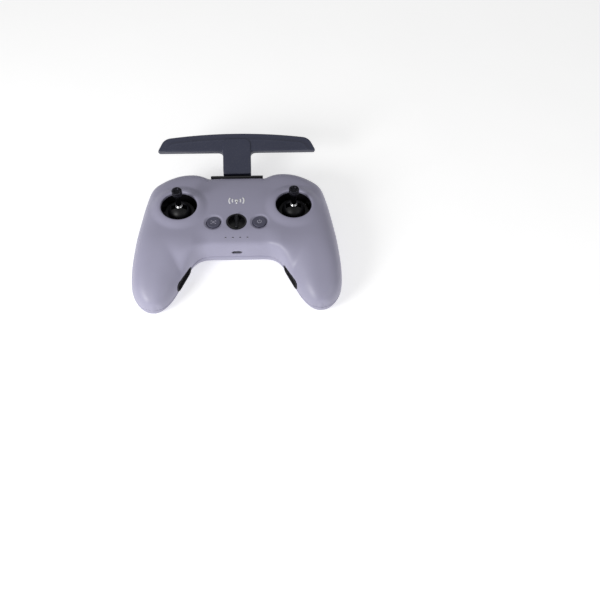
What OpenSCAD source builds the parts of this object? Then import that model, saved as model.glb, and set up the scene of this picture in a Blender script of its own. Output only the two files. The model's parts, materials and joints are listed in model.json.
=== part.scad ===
// Radio transmitter controller with two stick gimbals and a folding T-shaped antenna.
// Frame: +Z up out of the face, +Y towards the antenna, X across the grips, origin under the middle.

/* [Body] */
// Overall width across the grips
body_w = 190; // [185:1:230]
// Length from the shoulder edge to the tips of the grips
body_l = 143; // [138:1:176]
// Height of the middle of the face above the table
body_h = 41; // [40:0.5:50]
// Thickness of the moulded shells
wall = 2.2; // [1.8:0.1:2.8]
// Gap between the front and rear shells at the parting line
shell_gap = 0.3; // [0.1:0.1:0.6]

/* [Gimbals] */
// Distance between the two stick centres
gimbal_spacing = 106; // [102:1:112]
// Stick centre line measured from the origin towards the antenna
gimbal_y = 5; // [2:1:6]
// Diameter of the round well around each stick
well_d = 34; // [30:1:36]
// Height of the raised rim around each well
rim_h = 2.3; // [1:0.1:4]
// Height of a stick above its pivot
stick_len = 32; // [27:1:36]
// Diameter of the knurled stick end
stick_d = 9.4; // [7:0.2:10]

/* [Buttons] */
// Distance between the two round buttons on the face
button_spacing = 42; // [38:1:48]
// Diameter of the round buttons on the face
button_d = 12.4; // [9:0.2:14]
// Travel of every push button
button_travel = 0.8; // [0.4:0.1:0.8]
// Diameter of the round buttons on the shoulders
shoulder_button_d = 8.8; // [7:0.2:10]
// Diameter of the gimbal dial
dial_d = 15; // [12:0.5:16]

/* [Antenna] */
// Width of the antenna bar
antenna_w = 153; // [120:1:160]
// Width of the antenna stem
stem_w = 27; // [20:1:28]
// Distance from the hinge axis to the lower edge of the bar
stem_l = 29; // [27:1:31]
// Height of the bar at its middle
bar_h = 18; // [16:1:20]
// Thickness of the antenna
antenna_t = 9; // [8:0.5:9]
// Angle of the unfolded antenna above the table
antenna_rest = 25; // [0:1:40]
// Slope of the folded antenna under the body
stow_angle = 22; // [20:1:24]
// Width of the hinge base
hinge_w = 50; // [44:1:52]

/* [Lanyard] */
// Diameter of the round cup around the lanyard bar
lanyard_cup_d = 18; // [16:0.5:20]
// Diameter of the lanyard bar
lanyard_bar_d = 2.6; // [2:0.1:3.2]

/* [Fasteners] */
// Shank diameter of the shell screws
screw_d = 2.5; // [2:0.1:3]
// Head diameter of the shell screws
screw_head_d = 4.8; // [4:0.1:5]
// Clearance around every part that slides or turns in an opening
slide_fit = 0.15; // [0.1:0.05:0.3]
// Radial clearance of a pin in its bore
run_fit = 0.04; // [0.02:0.01:0.08]

/* [Hidden] */
$fn = 48;

// ---- colours
SHELL = "#9795a8";
GRAPHITE = "#3a3d4f";
BLACK = "#17161b";
KEY = "#55546a";
STEEL = "#b4b6ba";
BRASS = "#b9973f";
BOARD = "#1f5a3a";

// ---- outline of the body, drawn at 190 by 143 and scaled to the driving sizes
kx = body_w / 190;
ky = body_l / 143;
function scaled(P) = [for (p = P) [p[0] * kx, p[1] * ky]];
OUTER = scaled([
    [0, 45.5], [14, 45.6], [25.5, 45.8], [31, 49.2], [39, 52.4], [49, 52.6], [59, 50], [70, 43.8], [80, 34],
    [85.8, 18], [89, 0], [91.8, -20], [94.2, -40], [95, -57.5], [94, -71], [90, -80.5], [83.5, -87.4],
    [74.5, -90.4]
]);
INNER = scaled([
    [0, -36.5], [10, -36.5], [18, -36.5], [24.5, -36.6], [30, -37.3], [34.5, -39.2], [38.2, -42.3],
    [41.2, -46.3], [43.8, -51], [46.2, -56], [48.6, -61.3], [51, -66.5], [53.5, -71.4], [56, -76],
    [58.8, -80.2], [62.2, -84.4], [67, -88.3], [74.5, -90.4]
]);

function smooth(t) = let (c = min(1, max(0, t))) c * c * (3 - 2 * c);
function sgn(a) = a < 0 ? -1 : 1;
function unit(v) = v / norm(v);
function left_of(v) = [-v[1], v[0]];
function last(P) = len(P) - 1;
function knot(P, k) =
    k < 0 ? [-P[1][0], P[1][1]] : k > last(P) ? 2 * P[last(P)] - P[last(P) - 1] : P[k];
// A point on the smooth curve through P, u from 0 to 1.
function along(P, u) =
    let (t = min(u, 0.9999) * last(P), i = floor(t), f = t - i,
         a = knot(P, i - 1), b = knot(P, i), c = knot(P, i + 1), d = knot(P, i + 2))
    0.5 * (2 * b + (c - a) * f + (2 * a - 5 * b + 4 * c - d) * f * f + (3 * b - a - 3 * c + d) * f * f * f);
function tangent(P, u) = unit(along(P, min(u + 0.002, 0.9999)) - along(P, max(u - 0.002, 0)));
// The same point moved inwards, on the side of the body that s names.
function edge(P, s, inset) =
    let (u = abs(s), q = along(P, u) + inset * left_of(tangent(P, u))) [sgn(s) * q[0], q[1]];
// The place along OUTER where the shoulder edge crosses a given x.
EDGE_TABLE = [for (i = [0:80]) let (u = i / 80 * 0.6) [along(OUTER, u)[0], u]];
function edge_u(x) = lookup(abs(x), EDGE_TABLE);

// ---- hinge and stowed antenna
top_y = OUTER[0][1];
hinge_y = top_y + 7.5;
hinge_z = body_h - 17.5;
barrel_r = antenna_t / 2 + 0.1;
stow_gap = 1.2;
antenna_l = stem_l + bar_h;
channel_w = stem_w + 3.4;
// The groove that the folded bar lies in starts this far from the hinge axis.
groove_y = hinge_y - (antenna_l + 0.5) * cos(stow_angle) - antenna_t / 2 * sin(stow_angle) - 1.6;

// ---- the three surfaces of the body
gimbal_x = gimbal_spacing / 2;
well_r = well_d / 2;
function rim(x, y) = rim_h * (1 - smooth((norm([abs(x) - gimbal_x, y - gimbal_y]) - well_r - 1.6) / 9));
function z_face(x, y) =
    body_h - 0.002 * pow(max(0, y - 5), 2) - 15 * smooth((-28 * ky - y) / (72 * ky)) + rim(x, y);
function z_part(x, y) =
    body_h - 19.5 - 4.5 * smooth((-20 * ky - y) / (22 * ky)) - 6 * smooth((-38 * ky - y) / (50 * ky))
    + 8 * smooth((y - 12) / 28)
    + 3 * smooth((y - 28) / 12) * (1 - smooth((abs(x) - 22) / 8));
function z_channel(y) =
    hinge_z - (hinge_y - y) * tan(stow_angle) + (antenna_t / 2 + stow_gap) / cos(stow_angle);
// The hump and the backs of the grips lie on the table, with a shallow dip between them.
function z_back(x) = 1.6 * smooth((abs(x) - 30) / 10) * (1 - smooth((abs(x) - 46) / 12)) - 0.4;

// ---- skins of the two shells, as stations along the body and a section at each
STATIONS = 30;
TIP_CUT = 0.985;
FRONT_STEPS = 20;
REAR_STEPS = 22;
REAR_DRAFT = 0.2;
function section(s, up, inset) =
    let (u = abs(s), O = edge(OUTER, s, -inset), I = edge(INNER, s, inset),
         k = smooth((u - 0.25) / 0.35),
         p_in = (up ? 16 : 10) * (1 - k) + 2.7 * k,
         p_out = (up ? 9 : 10) * (1 - k) + 2.7 * k,
         q = up ? 2.2 : 2.5,
         tip = sqrt(max(0, 1 - pow(max(0, (u - 0.72) / 0.28), 2.2))),
         steps = up ? FRONT_STEPS : REAR_STEPS)
    [for (j = [0:steps])
        let (w = cos(180 * j / steps),
             e = pow(max(0, 1 - pow(abs(w), w < 0 ? p_in : p_out)), 1 / q) * tip,
             v = up || w > 0 ? w : w * (1 - REAR_DRAFT * e * e),
             P = (I * (1 - v) + O * (1 + v)) / 2,
             x = P[0], y = P[1], zm = z_part(x, y),
             z = up ? zm + shell_gap / 2 + (z_face(x, y) - inset - zm - shell_gap / 2) * e
                    : zm - shell_gap / 2
                      - (zm - shell_gap / 2 - z_back(x) - inset) * e)
        [x, y, z]];

rows = [for (i = [-STATIONS:STATIONS]) i / STATIONS * TIP_CUT];
module skin(up) {
    m = (up ? FRONT_STEPS : REAR_STEPS) + 1;
    n = len(rows);
    outer = [for (s = rows) each section(s, up, 0)];
    inner = [for (s = rows) each section(s, up, wall)];
    b = n * m;
    e = m - 1;
    l = (n - 1) * m;
    grid = [for (i = [0:n - 2], j = [0:m - 2])
        let (a = i * m + j, c = a + m) each [[a, a + 1, c + 1], [a, c + 1, c]]];
    lining = [for (f = grid) [b + f[2], b + f[1], b + f[0]]];
    rim_out = [for (i = [0:n - 2])
        each [[i * m, (i + 1) * m, b + (i + 1) * m], [i * m, b + (i + 1) * m, b + i * m]]];
    rim_in = [for (i = [0:n - 2])
        let (a = i * m + e, c = a + m) each [[a, b + c, c], [a, b + a, b + c]]];
    caps = [[for (j = [e:-1:0]) j], [for (j = [0:e]) l + j], [for (j = [0:e]) b + j],
            [for (j = [e:-1:0]) b + l + j], [0, b, b + e, e], [l + e, b + l + e, b + l, l]];
    faces = concat(grid, lining, rim_out, rim_in, caps);
    polyhedron(concat(outer, inner), up ? [for (f = faces) [for (k = [len(f) - 1:-1:0]) f[k]]] : faces,
        convexity = 10);
}

// The space inside the rear skin as one solid, closed at the parting line.
module rear_filling(inset) {
    m = REAR_STEPS + 1;
    n = len(rows);
    e = m - 1;
    l = (n - 1) * m;
    grid = [for (i = [0:n - 2], j = [0:m - 2])
        let (a = i * m + j, c = a + m) each [[a, a + 1, c + 1], [a, c + 1, c]]];
    lid = [for (i = [0:n - 2])
        each [[i * m, (i + 1) * m, (i + 1) * m + e], [i * m, (i + 1) * m + e, i * m + e]]];
    polyhedron([for (s = rows) each section(s, false, inset)],
        concat(grid, lid, [[for (j = [e:-1:0]) j], [for (j = [0:e]) l + j]]), convexity = 10);
}

// ---- shared places
deep = 60;
// Each screw is [x, y, bottom of its rear boss, top of its front boss].
SHELL_SCREWS = [
    [73 * kx, -66 * ky, 1.2, body_h - 10.5],
    [44 * kx, -31 * ky, 3.4, body_h - 1.9],
    [27, top_y - 9.5, 11.5, body_h - 4.5]
];
boss_r = screw_d / 2 + 1.8;
screw_grip = 6;
screw_bite = 8;
board_t = 1.6;
board_z = body_h - 15.5;
board_top = board_z + board_t;
board_x = 32;
board_y0 = INNER[0][1] + 3.6;
board_y1 = gimbal_y + 24;
BOARD_SCREWS = [[board_x - 4, board_y0 + 4], [board_x - 4, board_y1 - 4]];
small_screw_r = 1;
button_y = gimbal_y - 19;
button_x = button_spacing / 2;
lanyard_y = gimbal_y - 18.6;
cup_r = lanyard_cup_d / 2;
led_y = gimbal_y - 35.5;
guide_z = body_h - 11.5;
LED_X = [-9.9, -3.3, 3.3, 9.9];
usb_z = board_z - 1.65;
usb_front = INNER[0][1] + 1;
pivot_z = body_h - 9.8;
pot_r = well_r + 3;
pot_z = body_h - 19.9;
pot_top = body_h - 2.5;
ear_top = body_h - 4.3;
ear_r = pot_r + 2.5;
clip_u = 0.56;
clip_z = 14.5;
clip_l = 27;
clip_h = 10;
clip_d = 9.5;

module both() {
    for (s = [-1, 1]) scale_x(s) children();
}
module scale_x(s) {
    if (s < 0) mirror([1, 0, 0]) children();
    else children();
}
// Local frame on the shoulder edge: +Y leaves the body, X runs along the edge, Z is up.
shoulder_z = body_h - 18.5;
function edge_point(x) = edge(OUTER, sgn(x) * edge_u(x), 0);
function edge_turn(x) = let (t = tangent(OUTER, edge_u(x))) sgn(x) * atan2(t[1], t[0]);
module on_shoulder(x) {
    p = edge_point(x);
    translate([p[0], p[1], shoulder_z]) rotate([0, 0, edge_turn(x)]) children();
}
// Local frame on the inner side of a grip: +Y leaves the grip, X runs along it.
clip_p = along(INNER, clip_u);
clip_t = tangent(INNER, clip_u);
module on_grip() {
    translate([clip_p[0], clip_p[1], clip_z]) rotate([0, 0, atan2(clip_t[1], clip_t[0]) + 180]) children();
}
module tube(r, hole_r, h) {
    difference() {
        cylinder(r = r, h = h);
        translate([0, 0, -1]) cylinder(r = hole_r, h = h + 2);
    }
}
// A bar with round ends, l long and h high, d deep along Y, centred on X and Z.
module stadium(l, h, d) {
    rotate([90, 0, 0]) linear_extrude(d) {
        translate([-(l - h) / 2, -h / 2]) square([l - h, h]);
        for (s = [-1, 1]) translate([s * (l - h) / 2, 0]) circle(r = h / 2);
    }
}
module screw(r, head_r, shank, head) {
    difference() {
        union() {
            cylinder(r = r, h = shank);
            translate([0, 0, -head]) cylinder(r = head_r, h = head);
        }
        translate([0, 0, -head - 0.1]) cylinder(r = head_r * 0.5, h = head * 0.65, $fn = 6);
    }
}

// ---- shells
dial_x = -36;
pause_x = -54;
rocker_x = -69;
record_x = 36;
slider_x = 53;
start_x = 69;

module front_bosses() {
    both() {
        for (p = SHELL_SCREWS) {
            z = z_part(p[0], p[1]) + shell_gap / 2;
            translate([p[0], p[1], z]) cylinder(r = boss_r, h = p[3] - z);
        }
        for (p = BOARD_SCREWS)
            translate([p[0], p[1], board_top]) cylinder(r = 2.6, h = z_face(p[0], p[1]) - wall / 2 - board_top);
        for (a = [45:90:315]) {
            x = gimbal_x + ear_r * cos(a);
            y = gimbal_y + ear_r * sin(a);
            translate([x, y, ear_top]) cylinder(r = 2.4, h = z_face(x, y) - wall + 0.6 - ear_top);
        }
        translate([gimbal_x, gimbal_y, pot_top + 0.3])
            cylinder(r = well_r + 2, h = body_h + rim_h - pot_top - 1);
    }
    translate([0, lanyard_y, body_h - 3.4]) cylinder(r = cup_r + 1.6, h = 3);
}
module front_shell() {
    color(SHELL) difference() {
        union() {
            skin(true);
            front_bosses();
        }
        both() {
            translate([gimbal_x, gimbal_y, pot_z]) cylinder(r = well_r, h = deep);
            for (p = SHELL_SCREWS)
                translate([p[0], p[1], z_part(p[0], p[1]) - 1]) cylinder(r = screw_d / 2, h = screw_bite + 1.5);
            for (p = BOARD_SCREWS) translate([p[0], p[1], board_z]) cylinder(r = small_screw_r, h = 7);
            for (a = [45:90:315])
                translate([gimbal_x + ear_r * cos(a), gimbal_y + ear_r * sin(a), ear_top - 1])
                    cylinder(r = small_screw_r, h = 3.2);
            translate([button_x, button_y, board_z]) cylinder(r = button_d / 2 + slide_fit, h = deep);
            translate([button_x, button_y, body_h - 0.7]) cylinder(r = button_d / 2 + 1.3, h = deep);
            on_grip() translate([0, deep / 6, 0]) stadium(clip_l, clip_h, deep / 6 + clip_d);
        }
        translate([0, lanyard_y, board_z]) cylinder(r = cup_r, h = deep);
        for (x = LED_X) translate([x, led_y, board_z]) cylinder(r = 1, h = deep);
        translate([0, usb_front + 5, usb_z]) stadium(9.4, 3.7, 12);
    }
}

// The recess that the folded antenna lies in: a groove for its bar and a channel for its stem.
module stow_profile(w, y1, grow) {
    y0 = groove_y - grow;
    rise = grow / cos(stow_angle);
    translate([-w / 2, 0, 0]) rotate([90, 0, 90]) linear_extrude(w)
        polygon([[y0, -deep], [y0, z_channel(y0) + rise], [y1, z_channel(y1) + rise], [y1, -deep]]);
}
module stow_space(grow) {
    difference() {
        stow_profile(2 * body_w, hinge_y, grow);
        at_hinge() rod(-body_w - 1, body_w + 1, stem_l - 0.9 - grow);
    }
    stow_profile(channel_w + 2 * grow, hinge_y + 8, grow);
}
module rear_bosses() {
    both() for (p = SHELL_SCREWS)
        translate([p[0], p[1], p[2]]) cylinder(r = boss_r + 1.1, h = z_part(p[0], p[1]) - shell_gap / 2 - p[2]);
    // ribs that tie the two bosses beside the hinge to the lining of the antenna groove
    p = SHELL_SCREWS[2];
    both() translate([p[0] - 1, hinge_y - stem_l, p[2]]) cube([2, p[1] - hinge_y + stem_l, 7]);
}
module rear_shell() {
    color(SHELL) difference() {
        union() {
            skin(false);
            intersection() {
                rear_filling(wall / 2);
                stow_space(wall);
            }
            rear_bosses();
        }
        stow_space(0);
        translate([-body_w, -body_l, -20]) cube([2 * body_w, 2 * body_l, 20]);
        both() {
            for (p = SHELL_SCREWS) {
                z = z_part(p[0], p[1]);
                translate([p[0], p[1], -1]) cylinder(r = screw_head_d / 2 + 0.3, h = z - screw_grip + 1);
                translate([p[0], p[1], 0]) cylinder(r = screw_d / 2 + 0.2, h = deep);
            }
            on_grip() translate([0, deep / 6, 0]) stadium(clip_l, clip_h, deep / 6 + clip_d);
            translate([hinge_screw_x, top_y - 6, hinge_z]) rotate([-90, 0, 0])
                cylinder(r = small_screw_r + 0.2, h = 12);
        }
        for (x = [pause_x, record_x, start_x])
            on_shoulder(x) rotate([-90, 0, 0]) translate([0, 0, -6])
                cylinder(r = shoulder_button_d / 2 + slide_fit, h = 14);
        on_shoulder(dial_x) translate([-dial_d / 2 - 0.8, -6.5, -3.4]) cube([dial_d + 1.6, 14, 6.8]);
        on_shoulder(rocker_x) translate([-6.5, -6, -3.4]) cube([13, 14, 6.8]);
        on_shoulder(slider_x) translate([0, 8, 0]) stadium(14.4, 4.6, 14);
        // passage for the antenna lead
        translate([lead_x, top_y - 6, hinge_z]) rotate([-90, 0, 0]) cylinder(r = 1.1, h = 12);
    }
}
module shell_screws() {
    color(STEEL) both() for (p = SHELL_SCREWS)
        translate([p[0], p[1], z_part(p[0], p[1]) - screw_grip])
            screw(screw_d / 2, screw_head_d / 2, screw_grip + screw_bite, 1.8);
}

// ---- electronics in the body
module main_board() {
    color(BOARD) difference() {
        translate([-board_x, board_y0, board_z]) cube([2 * board_x, board_y1 - board_y0, board_t]);
        both() {
            for (p = BOARD_SCREWS) translate([p[0], p[1], board_z - 1]) cylinder(r = small_screw_r + 0.1, h = 4);
            translate([board_x - 5.8, board_y1 - 0.01, board_z - 1]) cylinder(r = 1.2, h = 4);
        }
    }
}
module board_screws() {
    color(STEEL) both() for (p = BOARD_SCREWS)
        translate([p[0], p[1], board_z]) screw(small_screw_r, 1.9, board_t + 5, 1.2);
}
module rf_shield() {
    color(STEEL) difference() {
        translate([-14, gimbal_y - 1, board_top]) cube([28, 19, 3]);
        translate([-13.6, gimbal_y - 0.6, board_top - 1]) cube([27.2, 18.2, 3.6]);
        for (i = [-4:4], j = [0:4]) translate([i * 2.8, gimbal_y + 3 + j * 2.8, board_top]) cylinder(r = 0.5, h = 4);
    }
}
module buzzer() {
    color(BLACK) difference() {
        translate([-19.6, gimbal_y + 4, board_top]) cylinder(r = 5, h = 3);
        translate([-19.6, gimbal_y + 4, board_top + 2]) cylinder(r = 1, h = 2);
    }
}
module usb_socket() {
    color(STEEL) {
        difference() {
            translate([0, usb_front + 7.3, usb_z]) stadium(8.9, 3.2, 7.3);
            translate([0, usb_front + 6.3, usb_z]) stadium(8.3, 2.6, 8);
        }
        translate([-3.2, usb_front + 1, usb_z - 0.35]) cube([6.4, 6, 0.7]);
        for (s = [-1, 1]) translate([s * 3.6 - 0.4, usb_front + 4, usb_z + 1.3]) cube([0.8, 3, 0.35]);
    }
}
battery_y0 = INNER[0][1] + REAR_DRAFT * (top_y - INNER[0][1]) / 2 + wall + 4.4;
battery_y1 = groove_y - 3.2;
battery_z0 = 3.6;
battery_z1 = usb_z - 3.2;
module battery_pack() {
    r = 3;
    color("#3d5f9a") hull() for (x = [-1, 1], y = [battery_y0 + r, battery_y1 - r])
        translate([x * (31 - r), y, battery_z0]) cylinder(r = r, h = battery_z1 - battery_z0, $fn = 32);
}
module battery_lead() {
    color("#a8262b") for (i = [0, 1]) {
        x = 12 + 2.4 * i;
        y = battery_y1 - 4;
        translate([x, y, battery_z1]) cylinder(r = 0.7, h = board_z - battery_z1 - 2.4);
    }
    color("#e8e6df") translate([9.6, battery_y1 - 6.5, board_z - 2.4]) cube([7.2, 5, 2.4]);
}
module light_guide() {
    color("white") {
        for (x = LED_X) translate([x, led_y, guide_z]) cylinder(r = 0.9, h = body_h - 1 - guide_z);
        translate([LED_X[0] - 1.6, led_y - 1.4, guide_z]) cube([LED_X[3] - LED_X[0] + 3.2, 2.8, 1.6]);
    }
}
module button_switches() {
    color(BLACK) both() translate([button_x, button_y, board_top]) {
        translate([-3, -3, 0]) cube([6, 6, 2.4]);
        cylinder(r = 1.7, h = 3.2);
    }
}

// ---- face controls
module face_button() {
    top = body_h + 0.15;
    difference() {
        union() {
            translate([0, 0, body_h - 4.2]) cylinder(r = button_d / 2, h = top - body_h + 3.8);
            translate([0, 0, top - 0.4]) cylinder(r1 = button_d / 2, r2 = button_d / 2 - 0.4, h = 0.4);
            translate([0, 0, body_h - 4.4]) cylinder(r = button_d / 2 + 0.9, h = 1.2);
            translate([0, 0, board_top + 3.2 + button_travel + 0.1])
                cylinder(r = 1.5, h = body_h - 4 - board_top - 3.2 - button_travel);
        }
        // a shallow dish for the thumb
        translate([0, 0, top - 0.3]) cylinder(r1 = button_d / 2 - 2, r2 = button_d / 2 - 1.2, h = 0.31);
    }
}
module power_button() {
    color(KEY) translate([button_x, button_y, 0]) face_button();
}
module custom_button() {
    color(KEY) translate([-button_x, button_y, 0]) face_button();
}
lanyard_z = body_h + 1.1;
leg_y = cup_r - 2.2;
module lanyard_legs(r, z0) {
    for (s = [-1, 1]) translate([0, lanyard_y + s * leg_y, z0]) cylinder(r = r, h = lanyard_z - z0);
}
module lanyard_cup() {
    z0 = body_h - 6.4;
    color(BLACK) difference() {
        union() {
            translate([0, lanyard_y, z0]) tube(cup_r, cup_r - 1.2, body_h + 0.1 - z0);
            translate([0, lanyard_y, z0]) cylinder(r = cup_r, h = 1.2);
            translate([0, lanyard_y, z0]) cylinder(r = cup_r + 1.4, h = 2.6);
            intersection() {
                translate([0, lanyard_y, z0]) cylinder(r = cup_r, h = body_h - z0);
                for (s = [-1, 1]) translate([-2.2, lanyard_y + s * (leg_y + 1.2) - 2.8, z0]) cube([4.4, 5.6, 4.2]);
            }
        }
        lanyard_legs(lanyard_bar_d / 2, z0 - 1);
        translate([0, lanyard_y, z0 + 1.2]) difference() {
            cylinder(r = cup_r - 1.2, h = 1.4);
            for (s = [-1, 1]) translate([-2.2, s * (leg_y + 1.2) - 2.8, -1]) cube([4.4, 5.6, 4.2]);
        }
    }
}
module lanyard_bar() {
    color(BLACK) {
        lanyard_legs(lanyard_bar_d / 2, body_h - 7.4);
        translate([0, lanyard_y - leg_y, lanyard_z]) rotate([-90, 0, 0]) cylinder(r = lanyard_bar_d / 2, h = 2 * leg_y);
        for (s = [-1, 1]) translate([0, lanyard_y + s * leg_y, lanyard_z]) sphere(r = lanyard_bar_d / 2);
    }
}

// ---- gimbals, drawn for the right side and mirrored for the left
pin_r = 1.5;
bush_r = 2.7;
ring_r = well_r - 3.4;
ring_hole = ring_r - 3;
hub_r = 5;
dome_r = ring_hole + 0.6;
shaft_r = 1.9;
stick_tilt = 25;
magnet_x = pot_r + 0.6;
module at_gimbal(s) {
    scale_x(s) translate([gimbal_x, gimbal_y, 0]) children();
}
module across(x0, x1, r) {
    translate([x0, 0, pivot_z]) rotate([0, 90, 0]) cylinder(r = r, h = x1 - x0);
}
module along_y(y0, y1, r) {
    translate([0, y0, pivot_z]) rotate([-90, 0, 0]) cylinder(r = r, h = y1 - y0);
}
module gimbal_frame() {
    difference() {
        union() {
            translate([0, 0, pot_z]) cylinder(r = pot_r, h = pot_top - pot_z);
            for (a = [45:90:315]) rotate(a) {
                translate([ear_r, 0, ear_top - 3]) cylinder(r = 3, h = 3);
                translate([pot_r - 2, -3, ear_top - 3]) cube([4.5, 6, 3]);
            }
        }
        translate([0, 0, pot_z + 1.3]) cylinder(r = well_r + 0.6, h = deep);
        across(-pot_r - 1, pot_r + 1, bush_r);
        for (a = [45:90:315]) rotate(a) translate([ear_r, 0, ear_top - 4]) cylinder(r = small_screw_r + 0.1, h = 6);
        for (a = [0:90:270]) rotate(a + 22) translate([11.5, -1.5, pot_z - 1]) cube([3.5, 3, 3]);
    }
}
module gimbal_bushes() {
    for (a = [0, 180]) rotate(a) difference() {
        union() {
            across(well_r + 0.6, pot_r, bush_r);
            across(well_r - 0.3, well_r + 0.2, bush_r + 0.4);
            across(well_r + 0.1, well_r + 0.7, bush_r);
        }
        across(well_r - 2, pot_r + 1, pin_r + run_fit);
    }
}
module gimbal_screws() {
    for (a = [45:90:315]) rotate(a) translate([ear_r, 0, ear_top - 3]) screw(small_screw_r, 1.9, 4.8, 1.3);
}
module gimbal_sensors() {
    // pitch sensor board beside the frame and roll sensor board on its floor
    translate([magnet_x + 3, -4.5, pivot_z - 5]) cube([1, 9, 8.6]);
    translate([magnet_x + 2.3, -1.6, pivot_z - 1.6]) cube([0.7, 3.2, 3.2]);
    translate([pot_r - 0.01, -4.5, pivot_z - 5.01]) cube([magnet_x + 4 - pot_r, 9, 1]);
    translate([-4.5, -4.5, pot_z + 1.3]) cube([9, 9, 0.8]);
}
module gimbal_springs() {
    coils = 9;
    wire = 0.34;
    for (a = [45, 225]) rotate(a) translate([(ring_r + well_r + 0.6) / 2, 0, pot_z + 1.3])
        rotate_extrude() {
            translate([0.75, 0]) square([0.6, coils * 2 * wire]);
            for (i = [0:coils - 1]) translate([1.35, (2 * i + 1) * wire]) circle(r = wire, $fn = 16);
        }
}
module gimbal_ribbon() {
    // flat cable from the frame down onto the main board
    x0 = board_x - 6 - gimbal_x;
    translate([x0, 4, board_top + 0.05]) cube([-pot_r - 0.15 - x0, 8, 0.25]);
    translate([-pot_r - 0.4, 4, board_top + 0.05]) cube([0.25, 8, pot_top - 4.5 - board_top]);
    translate([x0 - 1, 3, board_top + 0.02]) cube([4, 10, 1.6]);
}
// Round cover over the hub, slotted for the roll of the stick.
module yoke_dome() {
    slot_l = dome_r * sin(stick_tilt) + shaft_r + 0.6;
    slot_w = shaft_r + 0.7;
    translate([0, 0, pivot_z]) difference() {
        sphere(r = dome_r);
        sphere(r = dome_r - 1.2);
        translate([-deep, -deep, -deep]) cube([2 * deep, 2 * deep, deep + 0.5]);
        translate([-slot_l, -slot_w, 0]) cube([2 * slot_l, 2 * slot_w, deep]);
    }
}
module yoke() {
    difference() {
        union() {
            translate([0, 0, pivot_z - 2.2]) tube(ring_r, ring_hole, 4.4);
            yoke_dome();
            for (a = [0, 180]) rotate(a) {
                across(ring_r - 1.5, magnet_x, pin_r);
                across(ring_r - 1, well_r - 0.4, 2.3);
            }
            across(magnet_x, magnet_x + 1.6, 2.6);
        }
        along_y(-ring_r - 1, ring_r + 1, pin_r + run_fit);
    }
}
module stick_shaft() {
    union() {
        translate([0, 0, pivot_z - 3.4]) cylinder(r = hub_r, h = 6.8);
        along_y(-ring_r + 0.3, ring_r - 0.3, pin_r);
        translate([0, 0, pivot_z + 3.3]) cylinder(r1 = hub_r - 0.4, r2 = 2.2, h = 2.6);
        translate([0, 0, pivot_z]) cylinder(r = shaft_r, h = stick_len - 3.5);
        translate([0, 0, pivot_z + dome_r + 0.4]) cylinder(r = 2.9, h = 0.9);
        translate([0, 0, pivot_z - 6.2]) cylinder(r = 2, h = 4);
    }
}
knob_z = pivot_z + dome_r + 1.4;
module stick_end() {
    r = stick_d / 2;
    top = pivot_z + stick_len - knob_z;
    translate([0, 0, knob_z]) difference() {
        rotate_extrude() difference() {
            polygon([[0, 0], [r * 0.5, 0], [r * 0.54, 0.6], [r * 0.54, top - 9], [r * 0.66, top - 7.4],
                     [r * 0.96, top - 5], [r, top - 4.5], [r, top - 0.6], [r * 0.9, top],
                     [r * 0.5, top], [r * 0.4, top - 0.9], [0, top - 0.9]]);
            translate([r + 0.05, top - 2.5]) circle(r = 0.35);
        }
        translate([0, 0, -1]) cylinder(r = shaft_r + 0.02, h = pivot_z + stick_len - 3.48 - knob_z + 1);
        for (a = [0:30:330]) rotate(a) translate([r + 0.25, 0, top - 5.4]) cylinder(r = 0.55, h = 6);
        for (a = [0:30:150]) rotate(a) translate([-r - 1, -0.25, top - 0.35]) cube([2 * r + 2, 0.5, 1]);
    }
}
module stick_clip() {
    color(BLACK) on_grip() difference() {
        translate([0, -0.4, 0]) stadium(clip_l - 0.1, clip_h - 0.1, clip_d - 0.5);
        translate([0, 1, 0]) stadium(clip_l - 3, clip_h - 2, 8);
    }
}

// ---- antenna hinge
ear_in = stem_w / 2 + 0.7;
lead_x = -ear_in - 4.1;
hinge_screw_x = hinge_w / 2 - 2.7;
module at_hinge() {
    translate([0, hinge_y, hinge_z]) children();
}
module rod(x0, x1, r) {
    translate([x0, 0, 0]) rotate([0, 90, 0]) cylinder(r = r, h = x1 - x0);
}
module hinge_base() {
    color(BLACK) difference() {
        union() {
            both() at_hinge() {
                rod(ear_in, hinge_w / 2, barrel_r);
                translate([ear_in, top_y + 0.6 - hinge_y, -barrel_r])
                    cube([hinge_w / 2 - ear_in, hinge_y - top_y - 0.6, 2 * barrel_r]);
            }
            translate([-hinge_w / 2, top_y + 0.6, hinge_z + 3.6]) cube([hinge_w, 1.8, body_h - hinge_z - 9.4]);
        }
        both() at_hinge() {
            rod(ear_in - 1, hinge_w / 2 - 0.8, pin_r);
            translate([hinge_screw_x, top_y - hinge_y, 0]) rotate([-90, 0, 0]) cylinder(r = small_screw_r, h = 5);
        }
        translate([lead_x, top_y - 1, hinge_z]) rotate([-90, 0, 0]) cylinder(r = 0.9, h = hinge_y - top_y + 1);
        at_hinge() rod(-ear_in + 0.05, ear_in - 0.05, 6.2);
    }
}
pin_in = 9.6;
module hinge_pins() {
    color(STEEL) at_hinge() {
        rod(pin_in, hinge_w / 2 - 0.9, pin_r);
        // the left pin is hollow and lets the antenna lead in through its side
        difference() {
            rod(-hinge_w / 2 + 0.9, -pin_in, pin_r);
            rod(lead_x - 1, -pin_in + 1, 0.9);
            translate([lead_x, -3, 0]) rotate([-90, 0, 0]) cylinder(r = 0.9, h = 3);
        }
    }
}
module hinge_washers() {
    color(STEEL) both() at_hinge() translate([stem_w / 2 + 0.1, 0, 0]) rotate([0, 90, 0])
        tube(barrel_r - 0.6, pin_r + 0.1, 0.5);
}
module hinge_screws() {
    color(STEEL) both() translate([hinge_screw_x, top_y - wall - 2.4, hinge_z]) rotate([-90, 0, 0])
        screw(small_screw_r, 2, 8, 1.3);
}

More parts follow.
